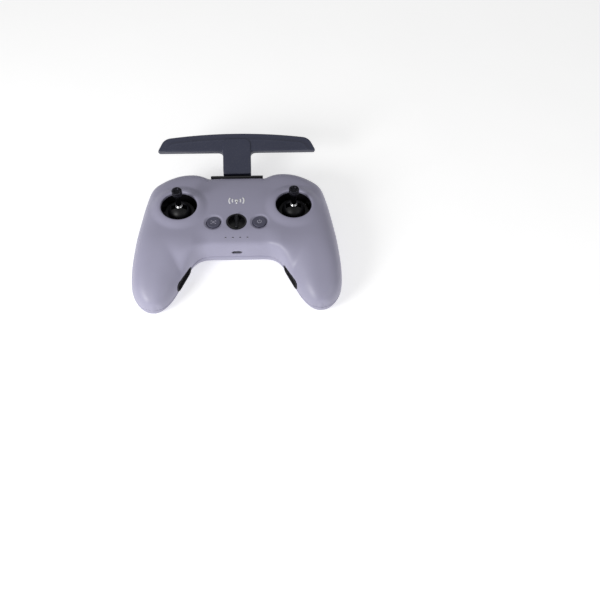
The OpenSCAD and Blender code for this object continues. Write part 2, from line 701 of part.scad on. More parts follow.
// ---- antenna, drawn flat with its hinge axis on X and then tilted
split = -1;
half_t = antenna_t / 2;
skin_t = 1.4;
module at_antenna() {
    at_hinge() rotate([antenna_rest, 0, 0]) children();
}
function bar_top(x, drop) = stem_l + bar_h - drop - 4.6 * pow(x / (antenna_w / 2 - 7.5), 2);
module bar_outline(inset = 0, drop = 0) {
    w = antenna_w / 2 - inset;
    t = w - 7.5;
    lo = stem_l + min(inset, 1);
    polygon([
        [-w + 2, lo], [-w + 0.4, lo + 0.6], [-w, lo + 2.2],
        [-t - 3, bar_top(t, drop + inset) - 2.6], [-t - 1, bar_top(t, drop + inset) - 0.7],
        for (i = [-8:8]) [i / 8 * (t - 1), bar_top(i / 8 * (t - 1), drop + inset)],
        [t + 1, bar_top(t, drop + inset) - 0.7], [t + 3, bar_top(t, drop + inset) - 2.6],
        [w, lo + 2.2], [w - 0.4, lo + 0.6], [w - 2, lo]
    ]);
}
module stem_outline(inset = 0) {
    w = stem_w / 2 - inset;
    l0 = 4.9 + inset;
    l1 = antenna_l - 5 - inset;
    polygon(concat([[-w, l0], [w, l0]],
        [for (a = [0:15:90]) [w - 5 + 5 * cos(a), l1 - 5 + 5 * sin(a)]],
        [for (a = [90:15:180]) [-w + 5 + 5 * cos(a), l1 - 5 + 5 * sin(a)]]));
}
// Triangles with a hollow third side that fill the corners between stem and bar.
module corner_outline() {
    r = 4;
    for (s = [-1, 1]) polygon(concat([[s * (stem_w / 2 - 0.5), stem_l + 0.5]],
        [for (a = [0:15:90]) [s * (stem_w / 2 + r - r * cos(a)), stem_l - r + r * sin(a)]]));
}
module slab(h0, h1) {
    translate([0, 0, h0]) linear_extrude(h1 - h0) children();
}
module front_bar(inset, top) {
    hull() {
        slab(split, top - 2.2) bar_outline(inset);
        slab(top - 0.2, top) bar_outline(inset + 3.2, 1.8);
    }
}
ANTENNA_SCREWS = [[8, 11], [62, stem_l + 6]];
module antenna_posts(r, h0, h1) {
    both() for (p = ANTENNA_SCREWS) translate([p[0], p[1], h0]) cylinder(r = r, h = h1 - h0);
}
module antenna_front_cover() {
    color(GRAPHITE) at_antenna() difference() {
        union() {
            difference() {
                union() {
                    front_bar(0, half_t);
                    slab(split, half_t + 0.4) stem_outline();
                    slab(split, half_t - 1.4) corner_outline();
                }
                front_bar_cavity();
            }
            antenna_posts(1.9, split + 0.9, half_t - 1);
        }
        antenna_posts(0.8, split, half_t - 1.2);
    }
}
module front_bar_cavity() {
    translate([0, 0, -0.01]) {
        slab(split, half_t - skin_t - 0.8) bar_outline(skin_t + 1.4, 0.4);
        slab(split, half_t - skin_t) stem_outline(skin_t);
    }
}
module antenna_rear_cover() {
    color(GRAPHITE) at_antenna() difference() {
        union() {
            hull() {
                slab(-half_t + 1.2, split - 0.05) bar_outline();
                slab(-half_t, -half_t + 0.2) bar_outline(1.4, 0);
            }
            slab(-half_t, split - 0.05) stem_outline();
            slab(-half_t + 0.4, split - 0.05) corner_outline();
            rod(-stem_w / 2, stem_w / 2, barrel_r);
            translate([-stem_w / 2, 0, -half_t]) cube([stem_w, 5.5, split + half_t - 0.05]);
        }
        slab(-half_t + skin_t, 0) bar_outline(skin_t + 0.8, 0);
        slab(-half_t + skin_t, 0) stem_outline(skin_t);
        translate([-pin_in + 0.1, -2.6, -half_t + skin_t]) cube([2 * pin_in - 0.2, 10, 5.7]);
        rod(-stem_w / 2 - 1, stem_w / 2 + 1, pin_r + run_fit);
        antenna_posts(0.9, -half_t - 1, split + 1);
        antenna_posts(1.8, -half_t - 1, -half_t + 0.8);
    }
    color(GRAPHITE) at_antenna() difference() {
        antenna_posts(2.2, -half_t + 0.8, split - 0.1);
        antenna_posts(0.9, -half_t - 1, split + 1);
    }
}
module antenna_board() {
    color(BOARD) at_antenna() difference() {
        union() {
            slab(split, split + 0.8) bar_outline(skin_t + 2, 1);
            slab(split, split + 0.8) stem_outline(skin_t + 0.3);
        }
        antenna_posts(2.4, split - 1, split + 2);
    }
}
module antenna_elements() {
    color(BRASS) at_antenna() both() {
        translate([16, stem_l + 4, split + 0.8]) cube([42, 2.4, 0.2]);
        translate([16, stem_l + 9.5, split + 0.8]) cube([38, 2.4, 0.2]);
        translate([14, stem_l + 3, split + 0.8]) cube([2.6, 9, 0.2]);
    }
}
module antenna_screws() {
    color(STEEL) at_antenna() both() for (p = ANTENNA_SCREWS)
        translate([p[0], p[1], -half_t + 0.8]) screw(0.8, 1.7, 4.4, 0.8);
}
coax_r = 0.65;
module bead(p) {
    translate(p) sphere(r = coax_r + 0.03, $fn = 24);
}
// Round lead through the points of P.
module lead(P) {
    for (i = [0:len(P) - 2]) let (v = P[i + 1] - P[i], l = norm(v)) translate(P[i])
        rotate([0, acos(v[2] / l), atan2(v[1], v[0])]) cylinder(r = coax_r, h = l, $fn = 24);
    for (i = [1:len(P) - 2]) bead(P[i]);
}
module body_coax() {
    color(BLACK) lead([[-10, gimbal_y + 20, board_top + 0.7], [-10, board_y1 + 3, board_top + 0.9],
        [lead_x, top_y - 8.5, board_top + 0.2], [lead_x, top_y - 4, hinge_z],
        [lead_x, hinge_y, hinge_z], [-pin_in - 0.1, hinge_y, hinge_z]]);
}
module antenna_coax() {
    color(BLACK) at_antenna() lead([[-pin_in + 0.2, 0, 0], [-5, 0, 0], [-5, 5, -2.05], [-5, 17, -2.05]]);
}

// ---- shoulder controls
module shoulder_button() {
    r = shoulder_button_d / 2;
    rotate([-90, 0, 0]) {
        translate([0, 0, -3.6]) cylinder(r = r, h = 4.9);
        translate([0, 0, 1.3]) cylinder(r1 = r, r2 = r - 0.5, h = 0.5);
        translate([0, 0, -4.8]) cylinder(r = r + 1, h = 1.2);
        translate([0, 0, -6.4]) cylinder(r = 1.4, h = 2);
    }
}
module shoulder_switch() {
    // tact switch on its own small board, behind a button
    translate([-3, -10.2, -3]) cube([6, 2.2, 6]);
    translate([-4.5, -11.2, -4.5]) cube([9, 1.01, 9]);
    rotate([90, 0, 0]) translate([0, 0, 6.4 + button_travel + 0.1]) cylinder(r = 1.6, h = 1.5);
}
dial_depth = dial_d / 2 - 2.9;
module gimbal_dial() {
    color(BLACK) on_shoulder(dial_x) translate([0, -dial_depth, -3]) difference() {
        cylinder(r = dial_d / 2, h = 6);
        translate([0, 0, -1]) cylinder(r = 1.2, h = 8);
        for (a = [0:15:345]) rotate(a) translate([dial_d / 2 + 0.25, 0, -1]) cylinder(r = 0.7, h = 8, $fn = 16);
    }
}
module dial_axle() {
    color(STEEL) on_shoulder(dial_x) translate([0, -dial_depth, -5.2]) cylinder(r = 1.2, h = 10.4);
}
module dial_bracket() {
    color(STEEL) on_shoulder(dial_x) difference() {
        union() {
            for (s = [-1, 1]) translate([-3.5, -dial_depth - dial_d / 2 - 1.8, s * 4.4 - 0.7])
                cube([7, dial_d / 2 + 2.8, 1.4]);
            translate([-3.5, -dial_depth - dial_d / 2 - 2.6, -5.1]) cube([7, 1.2, 10.2]);
        }
        translate([0, -dial_depth, -8]) cylinder(r = 1.2 + run_fit, h = 16);
    }
}
rocker_pivot = -4.3;
module custom_rocker() {
    color(KEY) on_shoulder(rocker_x) difference() {
        union() {
            translate([0, 1.3, 0]) stadium(11.2, 6, 3.6);
            translate([-1.9, rocker_pivot - 1.9, -3]) cube([3.8, 4.2, 6]);
            for (s = [-1, 1]) translate([s * 4, 1.1, -1.6]) cylinder(r = 0.6, h = 3.2);
        }
        translate([0, rocker_pivot, -5]) cylinder(r = 1.2 + run_fit, h = 10);
    }
}
module left_shoulder_switches() {
    color(BOARD) on_shoulder(pause_x) shoulder_switch();
    color(BOARD) on_shoulder(rocker_x) {
        translate([0, rocker_pivot, -4.4]) cylinder(r = 1.2, h = 8.8);
        for (s = [-1, 1]) translate([-2.2, rocker_pivot - 4, s * 4 - 0.6]) cube([4.4, 4.8, 1.2]);
        translate([-4, rocker_pivot - 5, -4.6]) cube([8, 1.2, 9.2]);
    }
}
module mode_slider() {
    color(KEY) on_shoulder(slider_x) {
        translate([0, 1.9, 0]) stadium(5.4, 4.2, 6.2);
        translate([-3.4, -5.2, -2.8]) cube([6.8, 1, 5.6]);
        for (i = [-1:1]) translate([i * 1.1 - 0.2, 1.8, -1.5]) cube([0.4, 0.5, 3]);
    }
}
module right_shoulder_switches() {
    color(BOARD) for (x = [record_x, start_x]) on_shoulder(x) shoulder_switch();
    color(BOARD) on_shoulder(slider_x) {
        translate([-6.5, -8.4, -3]) cube([13, 2.9, 6]);
        translate([-7, -9.4, -3.6]) cube([14, 1.01, 7.2]);
    }
}
module pause_button() {
    color(KEY) on_shoulder(pause_x) shoulder_button();
}
module record_button() {
    color(KEY) on_shoulder(record_x) shoulder_button();
}
module start_button() {
    color(KEY) on_shoulder(start_x) shoulder_button();
}

front_shell();
rear_shell();
shell_screws();
main_board();
board_screws();
rf_shield();
buzzer();
usb_socket();
battery_pack();
battery_lead();
light_guide();
lanyard_cup();
lanyard_bar();
power_button();
custom_button();
button_switches();
color(BLACK) at_gimbal(-1) gimbal_frame();  // left_gimbal_frame
color(BRASS) at_gimbal(-1) gimbal_bushes();  // left_gimbal_bushes
color(STEEL) at_gimbal(-1) gimbal_screws();  // left_gimbal_screws
color(BOARD) at_gimbal(-1) gimbal_sensors();  // left_gimbal_sensors
color(STEEL) at_gimbal(-1) gimbal_springs();  // left_gimbal_springs
color(BRASS) at_gimbal(-1) gimbal_ribbon();  // left_gimbal_ribbon
color(BLACK) at_gimbal(-1) yoke();  // left_yoke
color(BLACK) at_gimbal(-1) stick_shaft();  // left_stick_shaft
color(BLACK) at_gimbal(-1) stick_end();  // left_stick_end
scale_x(-1) stick_clip();  // left_stick_clip
color(BLACK) at_gimbal(1) gimbal_frame();  // right_gimbal_frame
color(BRASS) at_gimbal(1) gimbal_bushes();  // right_gimbal_bushes
color(STEEL) at_gimbal(1) gimbal_screws();  // right_gimbal_screws
color(BOARD) at_gimbal(1) gimbal_sensors();  // right_gimbal_sensors
color(STEEL) at_gimbal(1) gimbal_springs();  // right_gimbal_springs
color(BRASS) at_gimbal(1) gimbal_ribbon();  // right_gimbal_ribbon
color(BLACK) at_gimbal(1) yoke();  // right_yoke
color(BLACK) at_gimbal(1) stick_shaft();  // right_stick_shaft
color(BLACK) at_gimbal(1) stick_end();  // right_stick_end
stick_clip();  // right_stick_clip
hinge_base();
hinge_pins();
hinge_washers();
hinge_screws();
antenna_front_cover();
antenna_rear_cover();
antenna_board();
antenna_elements();
antenna_screws();
body_coax();
antenna_coax();
gimbal_dial();
dial_axle();
dial_bracket();
pause_button();
custom_rocker();
left_shoulder_switches();
record_button();
mode_slider();
start_button();
right_shoulder_switches();
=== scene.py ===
"""Looks for a hand-held radio transmitter: moulded shells, folding antenna, sticks, buttons and their finishes.

Lengths in this file are millimetres in the frame of the CAD part; MM turns them into the metres of the scene.
"""
import json
import math

import bpy
import numpy as np
from mathutils import Euler, Matrix, Vector


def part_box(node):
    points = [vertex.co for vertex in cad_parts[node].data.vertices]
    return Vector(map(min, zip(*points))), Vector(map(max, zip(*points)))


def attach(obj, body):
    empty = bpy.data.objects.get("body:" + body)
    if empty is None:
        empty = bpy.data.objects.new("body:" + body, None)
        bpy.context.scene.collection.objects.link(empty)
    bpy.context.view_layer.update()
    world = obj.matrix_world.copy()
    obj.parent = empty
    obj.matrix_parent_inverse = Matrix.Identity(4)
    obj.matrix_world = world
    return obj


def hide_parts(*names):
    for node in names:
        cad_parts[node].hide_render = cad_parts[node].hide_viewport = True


MM = 0.001
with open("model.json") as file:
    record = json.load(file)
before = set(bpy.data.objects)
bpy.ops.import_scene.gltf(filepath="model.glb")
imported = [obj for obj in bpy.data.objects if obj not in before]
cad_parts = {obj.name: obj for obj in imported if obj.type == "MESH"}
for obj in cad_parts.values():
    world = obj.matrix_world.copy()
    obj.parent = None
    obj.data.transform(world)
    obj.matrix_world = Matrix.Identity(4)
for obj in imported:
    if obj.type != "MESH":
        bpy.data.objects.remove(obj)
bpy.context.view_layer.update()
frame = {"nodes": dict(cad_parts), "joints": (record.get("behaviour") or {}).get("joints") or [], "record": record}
NODES = frame["nodes"]
JOINTS = {joint["name"]: joint for joint in frame["joints"]}


def low(node):
    return np.array(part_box(node)[0]) / MM


def high(node):
    return np.array(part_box(node)[1]) / MM


def middle(node):
    return (low(node) + high(node)) / 2


# ---------------------------------------------------------------- camera
CAMERA_PLACE = (0.0250, -0.4750, 0.5919)
CAMERA_TURN = (34.16, -1.41, -2.43)
CAMERA_LENS = 46.8


def make_camera():
    data = bpy.data.cameras.new("camera")
    data.lens = CAMERA_LENS
    data.sensor_width = 36
    data.clip_start = 0.01
    camera = bpy.data.objects.new("camera", data)
    camera.location = CAMERA_PLACE
    camera.rotation_euler = Euler([math.radians(angle) for angle in CAMERA_TURN])
    bpy.context.scene.collection.objects.link(camera)
    bpy.context.scene.camera = camera


make_camera()

# ---------------------------------------------------------------- sizes taken from the frame
GIMBAL = middle("right_gimbal_frame")[:2]
PIVOT_Z = JOINTS["right_stick_roll"]["pos_m"][2] / MM
HINGE_Y, HINGE_Z = (value / MM for value in JOINTS["antenna_fold"]["pos_m"][1:])
BUTTON = middle("power_button")[:2]
BUTTON_R = 6.2
BUTTON_DISH = (1.7, 0.9)  # how far the dish in the face reaches past a round key, and how deep it is
FACE_Z = high("power_button")[2] - 0.15
CUP_Y = middle("lanyard_cup")[1]
CUP_R = 9.0
LED_Y = middle("light_guide")[1]
LED_X = (-9.9, -3.3, 3.3, 9.9)
WALL = 2.2
SHELL_GAP = 0.3
REAR_DRAFT = 0.2
SOLID_TIP_Y = -78.0
WELL_R = 17.0
COLLAR_BOTTOM = 38.8
RIM_HEIGHT = 2.3
SCREW_PLACES = ((73, -66), (44, -31), (27, 36))
SCREW_HEAD_R = 2.7
SCREW_GRIP = 6.0
SCREW_POST_R = 4.1
SEAM_ROUNDING = 0.35
TONGUE_SETBACK = 0.7
TONGUE_REACH = 1.6
STOW_ANGLE = math.radians(22)
ANTENNA_THICKNESS = 9.0
ANTENNA_REST = math.radians(25)
STEM_LENGTH = 29.0
BAR_HEIGHT = 18.0
BAR_HALF = 76.5
BEVEL_WIDTH = 6.6
STEM_HALF = 13.5
ANTENNA_LENGTH = STEM_LENGTH + BAR_HEIGHT
CHANNEL_HALF = STEM_HALF + 1.7
GROOVE_Y = (HINGE_Y - (ANTENNA_LENGTH + 0.5) * math.cos(STOW_ANGLE)
            - ANTENNA_THICKNESS / 2 * math.sin(STOW_ANGLE) - 1.6)
STOW_CLEARANCE = 1.2
STOW_FILLET = 9.0
STOW_EDGE = 2.2
HINGE_BORE_R = 1.54
RIDGE_HEIGHT = 1.2
CREASE_HEIGHT = 0.35
BEVEL_SLOPE = 0.42
USB_Z = middle("usb_socket")[2]
USB_MOUTH = (9.4, 3.7)
CLIP_PLACE = (47.45, -58.74)
CLIP_TURN = math.radians(114.16)
CLIP_MOUTH = (27, 10)
CLIP_DEPTH = 9.5

# Sections of the body, from the middle (0) to the tip of a grip (1). A pair holds the value above the seam and the
# value below it; a higher power makes that side of the section squarer.
GRIP_START, GRIP_BLEND = 0.25, 0.35
TIP_START, TIP_SPAN = 0.72, 0.28
INSIDE_POWERS = (30, 10)
OUTSIDE_POWERS = (9, 10)
ROUND_POWERS = (2.2, 2.5)
GRIP_POWER = 2.7
UPPER_LIP = 0.055
FOOT_EDGE = 0.8

# The outline of the body in plan, from the top of the hump to the tip of the right grip.
OUTER = ((0, 45.5), (14, 45.6), (25.5, 45.8), (31, 49.2), (39, 52.4), (49, 52.6), (59, 50), (70, 43.8), (80, 34),
         (85.8, 18), (89, 0), (91.8, -20), (94.2, -40), (95, -57.5), (94, -71), (90, -80.5), (83.5, -87.4),
         (74.5, -90.4))
INNER = ((0, -36.5), (10, -36.5), (18, -36.5), (24.5, -36.6), (30, -37.3), (34.5, -39.2), (38.2, -42.3),
         (41.2, -46.3), (43.8, -51), (46.2, -56), (48.6, -61.3), (51, -66.5), (53.5, -71.4), (56, -76),
         (58.8, -80.2), (62.2, -84.4), (67, -88.3), (74.5, -90.4))


# ---------------------------------------------------------------- smooth solids from distance fields
def smooth(t):
    t = np.clip(t, 0, 1)
    return t * t * (3 - 2 * t)


def meet(a, b, radius):
    """Both solids at once, with a rounded edge of about that radius where they meet."""
    h = np.maximum(radius - np.abs(a - b), 0) / radius
    return np.maximum(a, b) + h * h * radius / 4


def join(a, b, radius):
    """Either solid, with a fillet of about that radius in the corner between them."""
    return -meet(-a, -b, radius)


def cut(a, b, radius):
    return meet(a, -b, radius)


def along(points, u):
    """Smooth curve through the points; u runs from 0 to 1."""
    points = np.array(points, float)
    knots = np.vstack([[-points[1, 0], points[1, 1]], points, 2 * points[-1] - points[-2]])
    t = np.minimum(u, 0.9999) * (len(points) - 1)
    i = t.astype(int)
    f = (t - i)[:, None]
    a, b, c, d = (knots[i + k] for k in range(4))
    return 0.5 * (2 * b + (c - a) * f + (2 * a - 5 * b + 4 * c - d) * f ** 2 + (3 * b - a - 3 * c + d) * f ** 3)


def section_places(x, y):
    """How far along the body each place lies (0 middle, 1 grip tip) and how far across it (-1 inside, 1 outside)."""
    u = np.linspace(0, 1, 420)
    inner, outer = along(INNER, u), along(OUTER, u)
    span = outer - inner
    side = np.abs(x)
    past = (side[..., None] - inner[:, 0]) * span[:, 1] - (y[..., None] - inner[:, 1]) * span[:, 0]
    k = np.argmax(past < 0, axis=-1)
    k = np.where(past[..., -1] >= 0, np.where(np.any(past < 0, axis=-1), k, len(u) - 1), np.maximum(k, 1))
    before = np.take_along_axis(past, (k - 1)[..., None], -1)[..., 0]
    after = np.take_along_axis(past, k[..., None], -1)[..., 0]
    f = np.clip(before / np.where(before == after, 1, before - after), 0, 1)[..., None]
    foot = inner[k - 1] * (1 - f) + inner[k] * f
    reach = span[k - 1] * (1 - f) + span[k] * f
    across = ((side - foot[..., 0]) * reach[..., 0] + (y - foot[..., 1]) * reach[..., 1]) / (reach ** 2).sum(-1)
    return (k - 1 + f[..., 0]) / (len(u) - 1), 2 * across - 1


def face_height(x, y):
    from_well = np.hypot(np.abs(x) - GIMBAL[0], y - GIMBAL[1]) - WELL_R
    rim = RIM_HEIGHT * (1 - smooth((from_well - 1.6) / 9))
    brow = 3.2 * smooth((-21 - y) / 16) * (1 - smooth((np.abs(x) - 24) / 18))
    return FACE_Z - 0.002 * np.maximum(0, y - 5) ** 2 - 15 * smooth((-28 - y) / 72) + rim - brow


def parting_height(x, y):
    return (FACE_Z - 19.5 - 4.5 * smooth((-20 - y) / 22) - 6 * smooth((-38 - y) / 50) + 8 * smooth((y - 12) / 28)
            + 3 * smooth((y - 28) / 12) * (1 - smooth((np.abs(x) - 22) / 8)))


def back_height(x):
    return 1.6 * smooth((np.abs(x) - 30) / 10) * (1 - smooth((np.abs(x) - 46) / 12)) - 0.4


def channel_height(y):
    return (HINGE_Z - (HINGE_Y - y) * math.tan(STOW_ANGLE)
            + (ANTENNA_THICKNESS / 2 + STOW_CLEARANCE) / math.cos(STOW_ANGLE))


class Grid:
    """A block of evenly spaced points in the frame, in millimetres."""

    def __init__(self, lowest, highest, step):
        self.step = step
        self.start = np.array(lowest, float)
        axes = [np.arange(a, b + step, step) for a, b in zip(lowest, highest)]
        self.x, self.y, self.z = np.meshgrid(*axes, indexing="ij")

    def distance(self, level):
        """Turns a field that is zero on a surface into the distance from that surface."""
        slope = np.sqrt(sum(part ** 2 for part in np.gradient(level, self.step)))
        return level / np.maximum(slope, 1e-4)

    def surface(self, field):
        """Points and four-sided faces of the surface where the field is zero."""
        inside = field < 0
        shape = np.array(field.shape) - 1
        filled = np.zeros(shape, np.int8)
        for i in (0, 1):
            for j in (0, 1):
                for k in (0, 1):
                    filled += inside[i:shape[0] + i, j:shape[1] + j, k:shape[2] + k]
        crossed = (filled > 0) & (filled < 8)
        cells = np.argwhere(crossed)
        number = np.full(shape, -1)
        number[crossed] = np.arange(len(cells))
        total = np.zeros((len(cells), 3))
        hits = np.zeros(len(cells))
        for axis in range(3):
            step = np.eye(3, dtype=int)[axis]
            others = [np.eye(3, dtype=int)[a] for a in range(3) if a != axis]
            for i in (0, 1):
                for j in (0, 1):
                    near = cells + others[0] * i + others[1] * j
                    a, b = field[tuple(near.T)], field[tuple((near + step).T)]
                    here = (a < 0) != (b < 0)
                    t = a[here] / (a[here] - b[here])
                    total[here] += near[here] - cells[here] + t[:, None] * step
                    hits[here] += 1
        points = cells + total / hits[:, None]
        faces = []
        for axis in range(3):
            p, q = (axis + 1) % 3, (axis + 2) % 3
            first = [slice(None)] * 3
            second = [slice(None)] * 3
            first[axis], second[axis] = slice(0, -1), slice(1, None)
            changes = np.argwhere(inside[tuple(first)] != inside[tuple(second)])
            changes = changes[(changes[:, p] > 0) & (changes[:, q] > 0)
                              & (changes[:, p] < field.shape[p] - 1) & (changes[:, q] < field.shape[q] - 1)]
            back_p, back_q = np.eye(3, dtype=int)[p], np.eye(3, dtype=int)[q]
            corner = [number[tuple((changes - i * back_p - j * back_q).T)]
                      for i, j in ((1, 1), (0, 1), (0, 0), (1, 0))]
            quads = np.stack(corner, 1)
            outward = inside[tuple(changes.T)]
            faces.append(np.where(outward[:, None], quads, quads[:, ::-1]))
        return self.settle(field, points), np.vstack(faces)

    def settle(self, field, points):
        """Moves points, in grid steps, onto the surface along the field's slope."""
        slopes = np.gradient(field)
        for _ in range(3):
            value = self.sample(field, points)
            slope = np.stack([self.sample(part, points) for part in slopes], 1)
            size = np.maximum((slope ** 2).sum(1), 1e-6)
            move = -(value / size)[:, None] * slope
            length = np.maximum(np.linalg.norm(move, axis=1), 1e-9)
            points = points + move * np.minimum(1, 0.3 / length)[:, None]
        return self.start + points * self.step

    @staticmethod
    def sample(field, points):
        base = np.clip(np.floor(points).astype(int), 0, np.array(field.shape) - 2)
        f = points - base
        total = 0
        for i in (0, 1):
            for j in (0, 1):
                for k in (0, 1):
                    share = (np.where(i, f[:, 0], 1 - f[:, 0]) * np.where(j, f[:, 1], 1 - f[:, 1])
                             * np.where(k, f[:, 2], 1 - f[:, 2]))
                    total = total + share * field[base[:, 0] + i, base[:, 1] + j, base[:, 2] + k]
        return total


def mesh_piece(name, points, faces, body, replaces=(), material=None):
    """A smooth-shaded piece from points in millimetres, riding on a body."""
    mesh = bpy.data.meshes.new(name)
    mesh.from_pydata((np.array(points, float) * MM).tolist(), [], [list(map(int, face)) for face in faces])
    mesh.validate()
    mesh.shade_smooth()
    piece = bpy.data.objects.new(name, mesh)
    bpy.context.scene.collection.objects.link(piece)
    if material:
        mesh.materials.append(material)
    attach(piece, body)
    if replaces:
        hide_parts(*replaces)
    return piece


# ---------------------------------------------------------------- material building blocks
def new_group(name, inputs, outputs):
    group = bpy.data.node_groups.new(name, "ShaderNodeTree")
    for label, kind, value in inputs:
        socket = group.interface.new_socket(name=label, in_out="INPUT", socket_type=kind)
        socket.default_value = value
    for label, kind in outputs:
        group.interface.new_socket(name=label, in_out="OUTPUT", socket_type=kind)
    return group, group.nodes.new("NodeGroupInput"), group.nodes.new("NodeGroupOutput")


def noise(tree, place, scale, detail=3.0, roughness=0.55):
    node = tree.nodes.new("ShaderNodeTexNoise")
    tree.links.new(place, node.inputs["Vector"])
    if hasattr(scale, "is_linked"):
        tree.links.new(scale, node.inputs["Scale"])
    else:
        node.inputs["Scale"].default_value = scale
    node.inputs["Detail"].default_value = detail
    node.inputs["Roughness"].default_value = roughness
    return node.outputs["Fac"]


def remap(tree, value, low_in, high_in, low_out=0.0, high_out=1.0):
    node = tree.nodes.new("ShaderNodeMapRange")
    tree.links.new(value, node.inputs["Value"])
    for label, number in (("From Min", low_in), ("From Max", high_in), ("To Min", low_out), ("To Max", high_out)):
        if hasattr(number, "is_linked"):
            tree.links.new(number, node.inputs[label])
        else:
            node.inputs[label].default_value = number
    return node.outputs["Result"]


def blend(tree, amount, first, second, mode="MIX"):
    node = tree.nodes.new("ShaderNodeMix")
    node.data_type = "RGBA"
    node.blend_type = mode
    for label, value in (("Factor", amount), ("A", first), ("B", second)):
        socket = [s for s in node.inputs if s.name == label and s.enabled][0]
        if hasattr(value, "is_linked"):
            tree.links.new(value, socket)
        else:
            socket.default_value = value
    return [s for s in node.outputs if s.enabled][0]


def math_node(tree, operation, first, second=0.0):
    node = tree.nodes.new("ShaderNodeMath")
    node.operation = operation
    for socket, value in zip(node.inputs, (first, second)):
        if hasattr(value, "is_linked"):
            tree.links.new(value, socket)
        else:
            socket.default_value = value
    return node.outputs["Value"]


def moulded_grain_group():
    """Fine spark-eroded texture of moulded plastic, with slow waves in its colour and gloss."""
    group, given, result = new_group(
        "moulded_grain",
        [("Color", "NodeSocketColor", (0.5, 0.5, 0.5, 1)), ("Variation", "NodeSocketFloat", 0.04),
         ("Roughness", "NodeSocketFloat", 0.5), ("Grain Scale", "NodeSocketFloat", 4000.0)],
        [("Color", "NodeSocketColor"), ("Roughness", "NodeSocketFloat"), ("Height", "NodeSocketFloat")])
    place = group.nodes.new("ShaderNodeTexCoord").outputs["Object"]
    slow = noise(group, place, 28.0, 2.0)
    grain = noise(group, place, given.outputs["Grain Scale"], 2.0, 0.6)
    smudge = noise(group, place, 90.0, 4.0, 0.65)
    less = math_node(group, "SUBTRACT", 1.0, given.outputs["Variation"])
    more = math_node(group, "ADD", 1.0, given.outputs["Variation"])
    value = remap(group, slow, 0.3, 0.7, less, more)
    shade = group.nodes.new("ShaderNodeHueSaturation")
    group.links.new(given.outputs["Color"], shade.inputs["Color"])
    group.links.new(value, shade.inputs["Value"])
    group.links.new(shade.outputs["Color"], result.inputs["Color"])
    gloss = math_node(group, "ADD", given.outputs["Roughness"], remap(group, smudge, 0.3, 0.7, -0.05, 0.07))
    group.links.new(gloss, result.inputs["Roughness"])
    group.links.new(grain, result.inputs["Height"])
    return group


def edge_wear_group():
    """Mask of rubbed edges: 1 on sharp convex edges, broken up by noise."""
    group, given, result = new_group(
        "edge_wear",
        [("Amount", "NodeSocketFloat", 0.5)],
        [("Mask", "NodeSocketFloat")])
    geometry = group.nodes.new("ShaderNodeNewGeometry")
    place = group.nodes.new("ShaderNodeTexCoord").outputs["Object"]
    sharp = remap(group, geometry.outputs["Pointiness"], 0.52, 0.62)
    broken = remap(group, noise(group, place, 420.0, 4.0, 0.7), 0.42, 0.62)
    mask = math_node(group, "MULTIPLY", math_node(group, "MULTIPLY", sharp, broken), given.outputs["Amount"])
    group.links.new(mask, result.inputs["Mask"])
    return group


def fine_dust_group():
    """Mask of dust that settles on faces that look up."""
    group, given, result = new_group(
        "fine_dust",
        [("Amount", "NodeSocketFloat", 0.2)],
        [("Mask", "NodeSocketFloat")])
    place = group.nodes.new("ShaderNodeTexCoord").outputs["Object"]
    geometry = group.nodes.new("ShaderNodeNewGeometry")
    split = group.nodes.new("ShaderNodeSeparateXYZ")
    group.links.new(geometry.outputs["Normal"], split.inputs[0])
    upward = remap(group, split.outputs["Z"], 0.2, 1.0)
    specks = remap(group, noise(group, place, 900.0, 3.0, 0.7), 0.5, 0.8)
    mask = math_node(group, "MULTIPLY", math_node(group, "MULTIPLY", upward, specks), given.outputs["Amount"])
    group.links.new(mask, result.inputs["Mask"])
    return group


GRAIN = moulded_grain_group()
WEAR = edge_wear_group()
DUST = fine_dust_group()


def new_material(name):
    material = bpy.data.materials.new(name)
    material.use_nodes = True
    tree = material.node_tree
    return material, tree, tree.nodes["Principled BSDF"]


def place_group(tree, group, **values):
    node = tree.nodes.new("ShaderNodeGroup")
    node.node_tree = group
    for label, value in values.items():
        node.inputs[label.replace("_", " ")].default_value = value
    return node


def moulded(name, color, roughness, variation=0.03, bump=0.06, grain=4000.0, wear=0.25, worn=None, dust=0.12,
            coat=0.0, specular=0.5):
    """Moulded plastic or rubber, with rubbed edges and a little dust."""
    material, tree, shader = new_material(name)
    rgba = (*color, 1)
    grains = place_group(tree, GRAIN, Color=rgba, Variation=variation, Roughness=roughness, Grain_Scale=grain)
    edges = place_group(tree, WEAR, Amount=wear)
    motes = place_group(tree, DUST, Amount=dust)
    lighter = tuple(min(1, c * 1.35 + 0.03) for c in color) if worn is None else worn
    tint = blend(tree, edges.outputs["Mask"], grains.outputs["Color"], (*lighter, 1))
    tint = blend(tree, motes.outputs["Mask"], tint, (0.55, 0.54, 0.52, 1))
    tree.links.new(tint, shader.inputs["Base Color"])
    tree.links.new(grains.outputs["Roughness"], shader.inputs["Roughness"])
    relief = tree.nodes.new("ShaderNodeBump")
    relief.inputs["Strength"].default_value = bump
    relief.inputs["Distance"].default_value = 0.0002
    tree.links.new(grains.outputs["Height"], relief.inputs["Height"])
    tree.links.new(relief.outputs["Normal"], shader.inputs["Normal"])
    shader.inputs["Coat Weight"].default_value = coat
    shader.inputs["Coat Roughness"].default_value = 0.25
    shader.inputs["Specular IOR Level"].default_value = specular
    return material


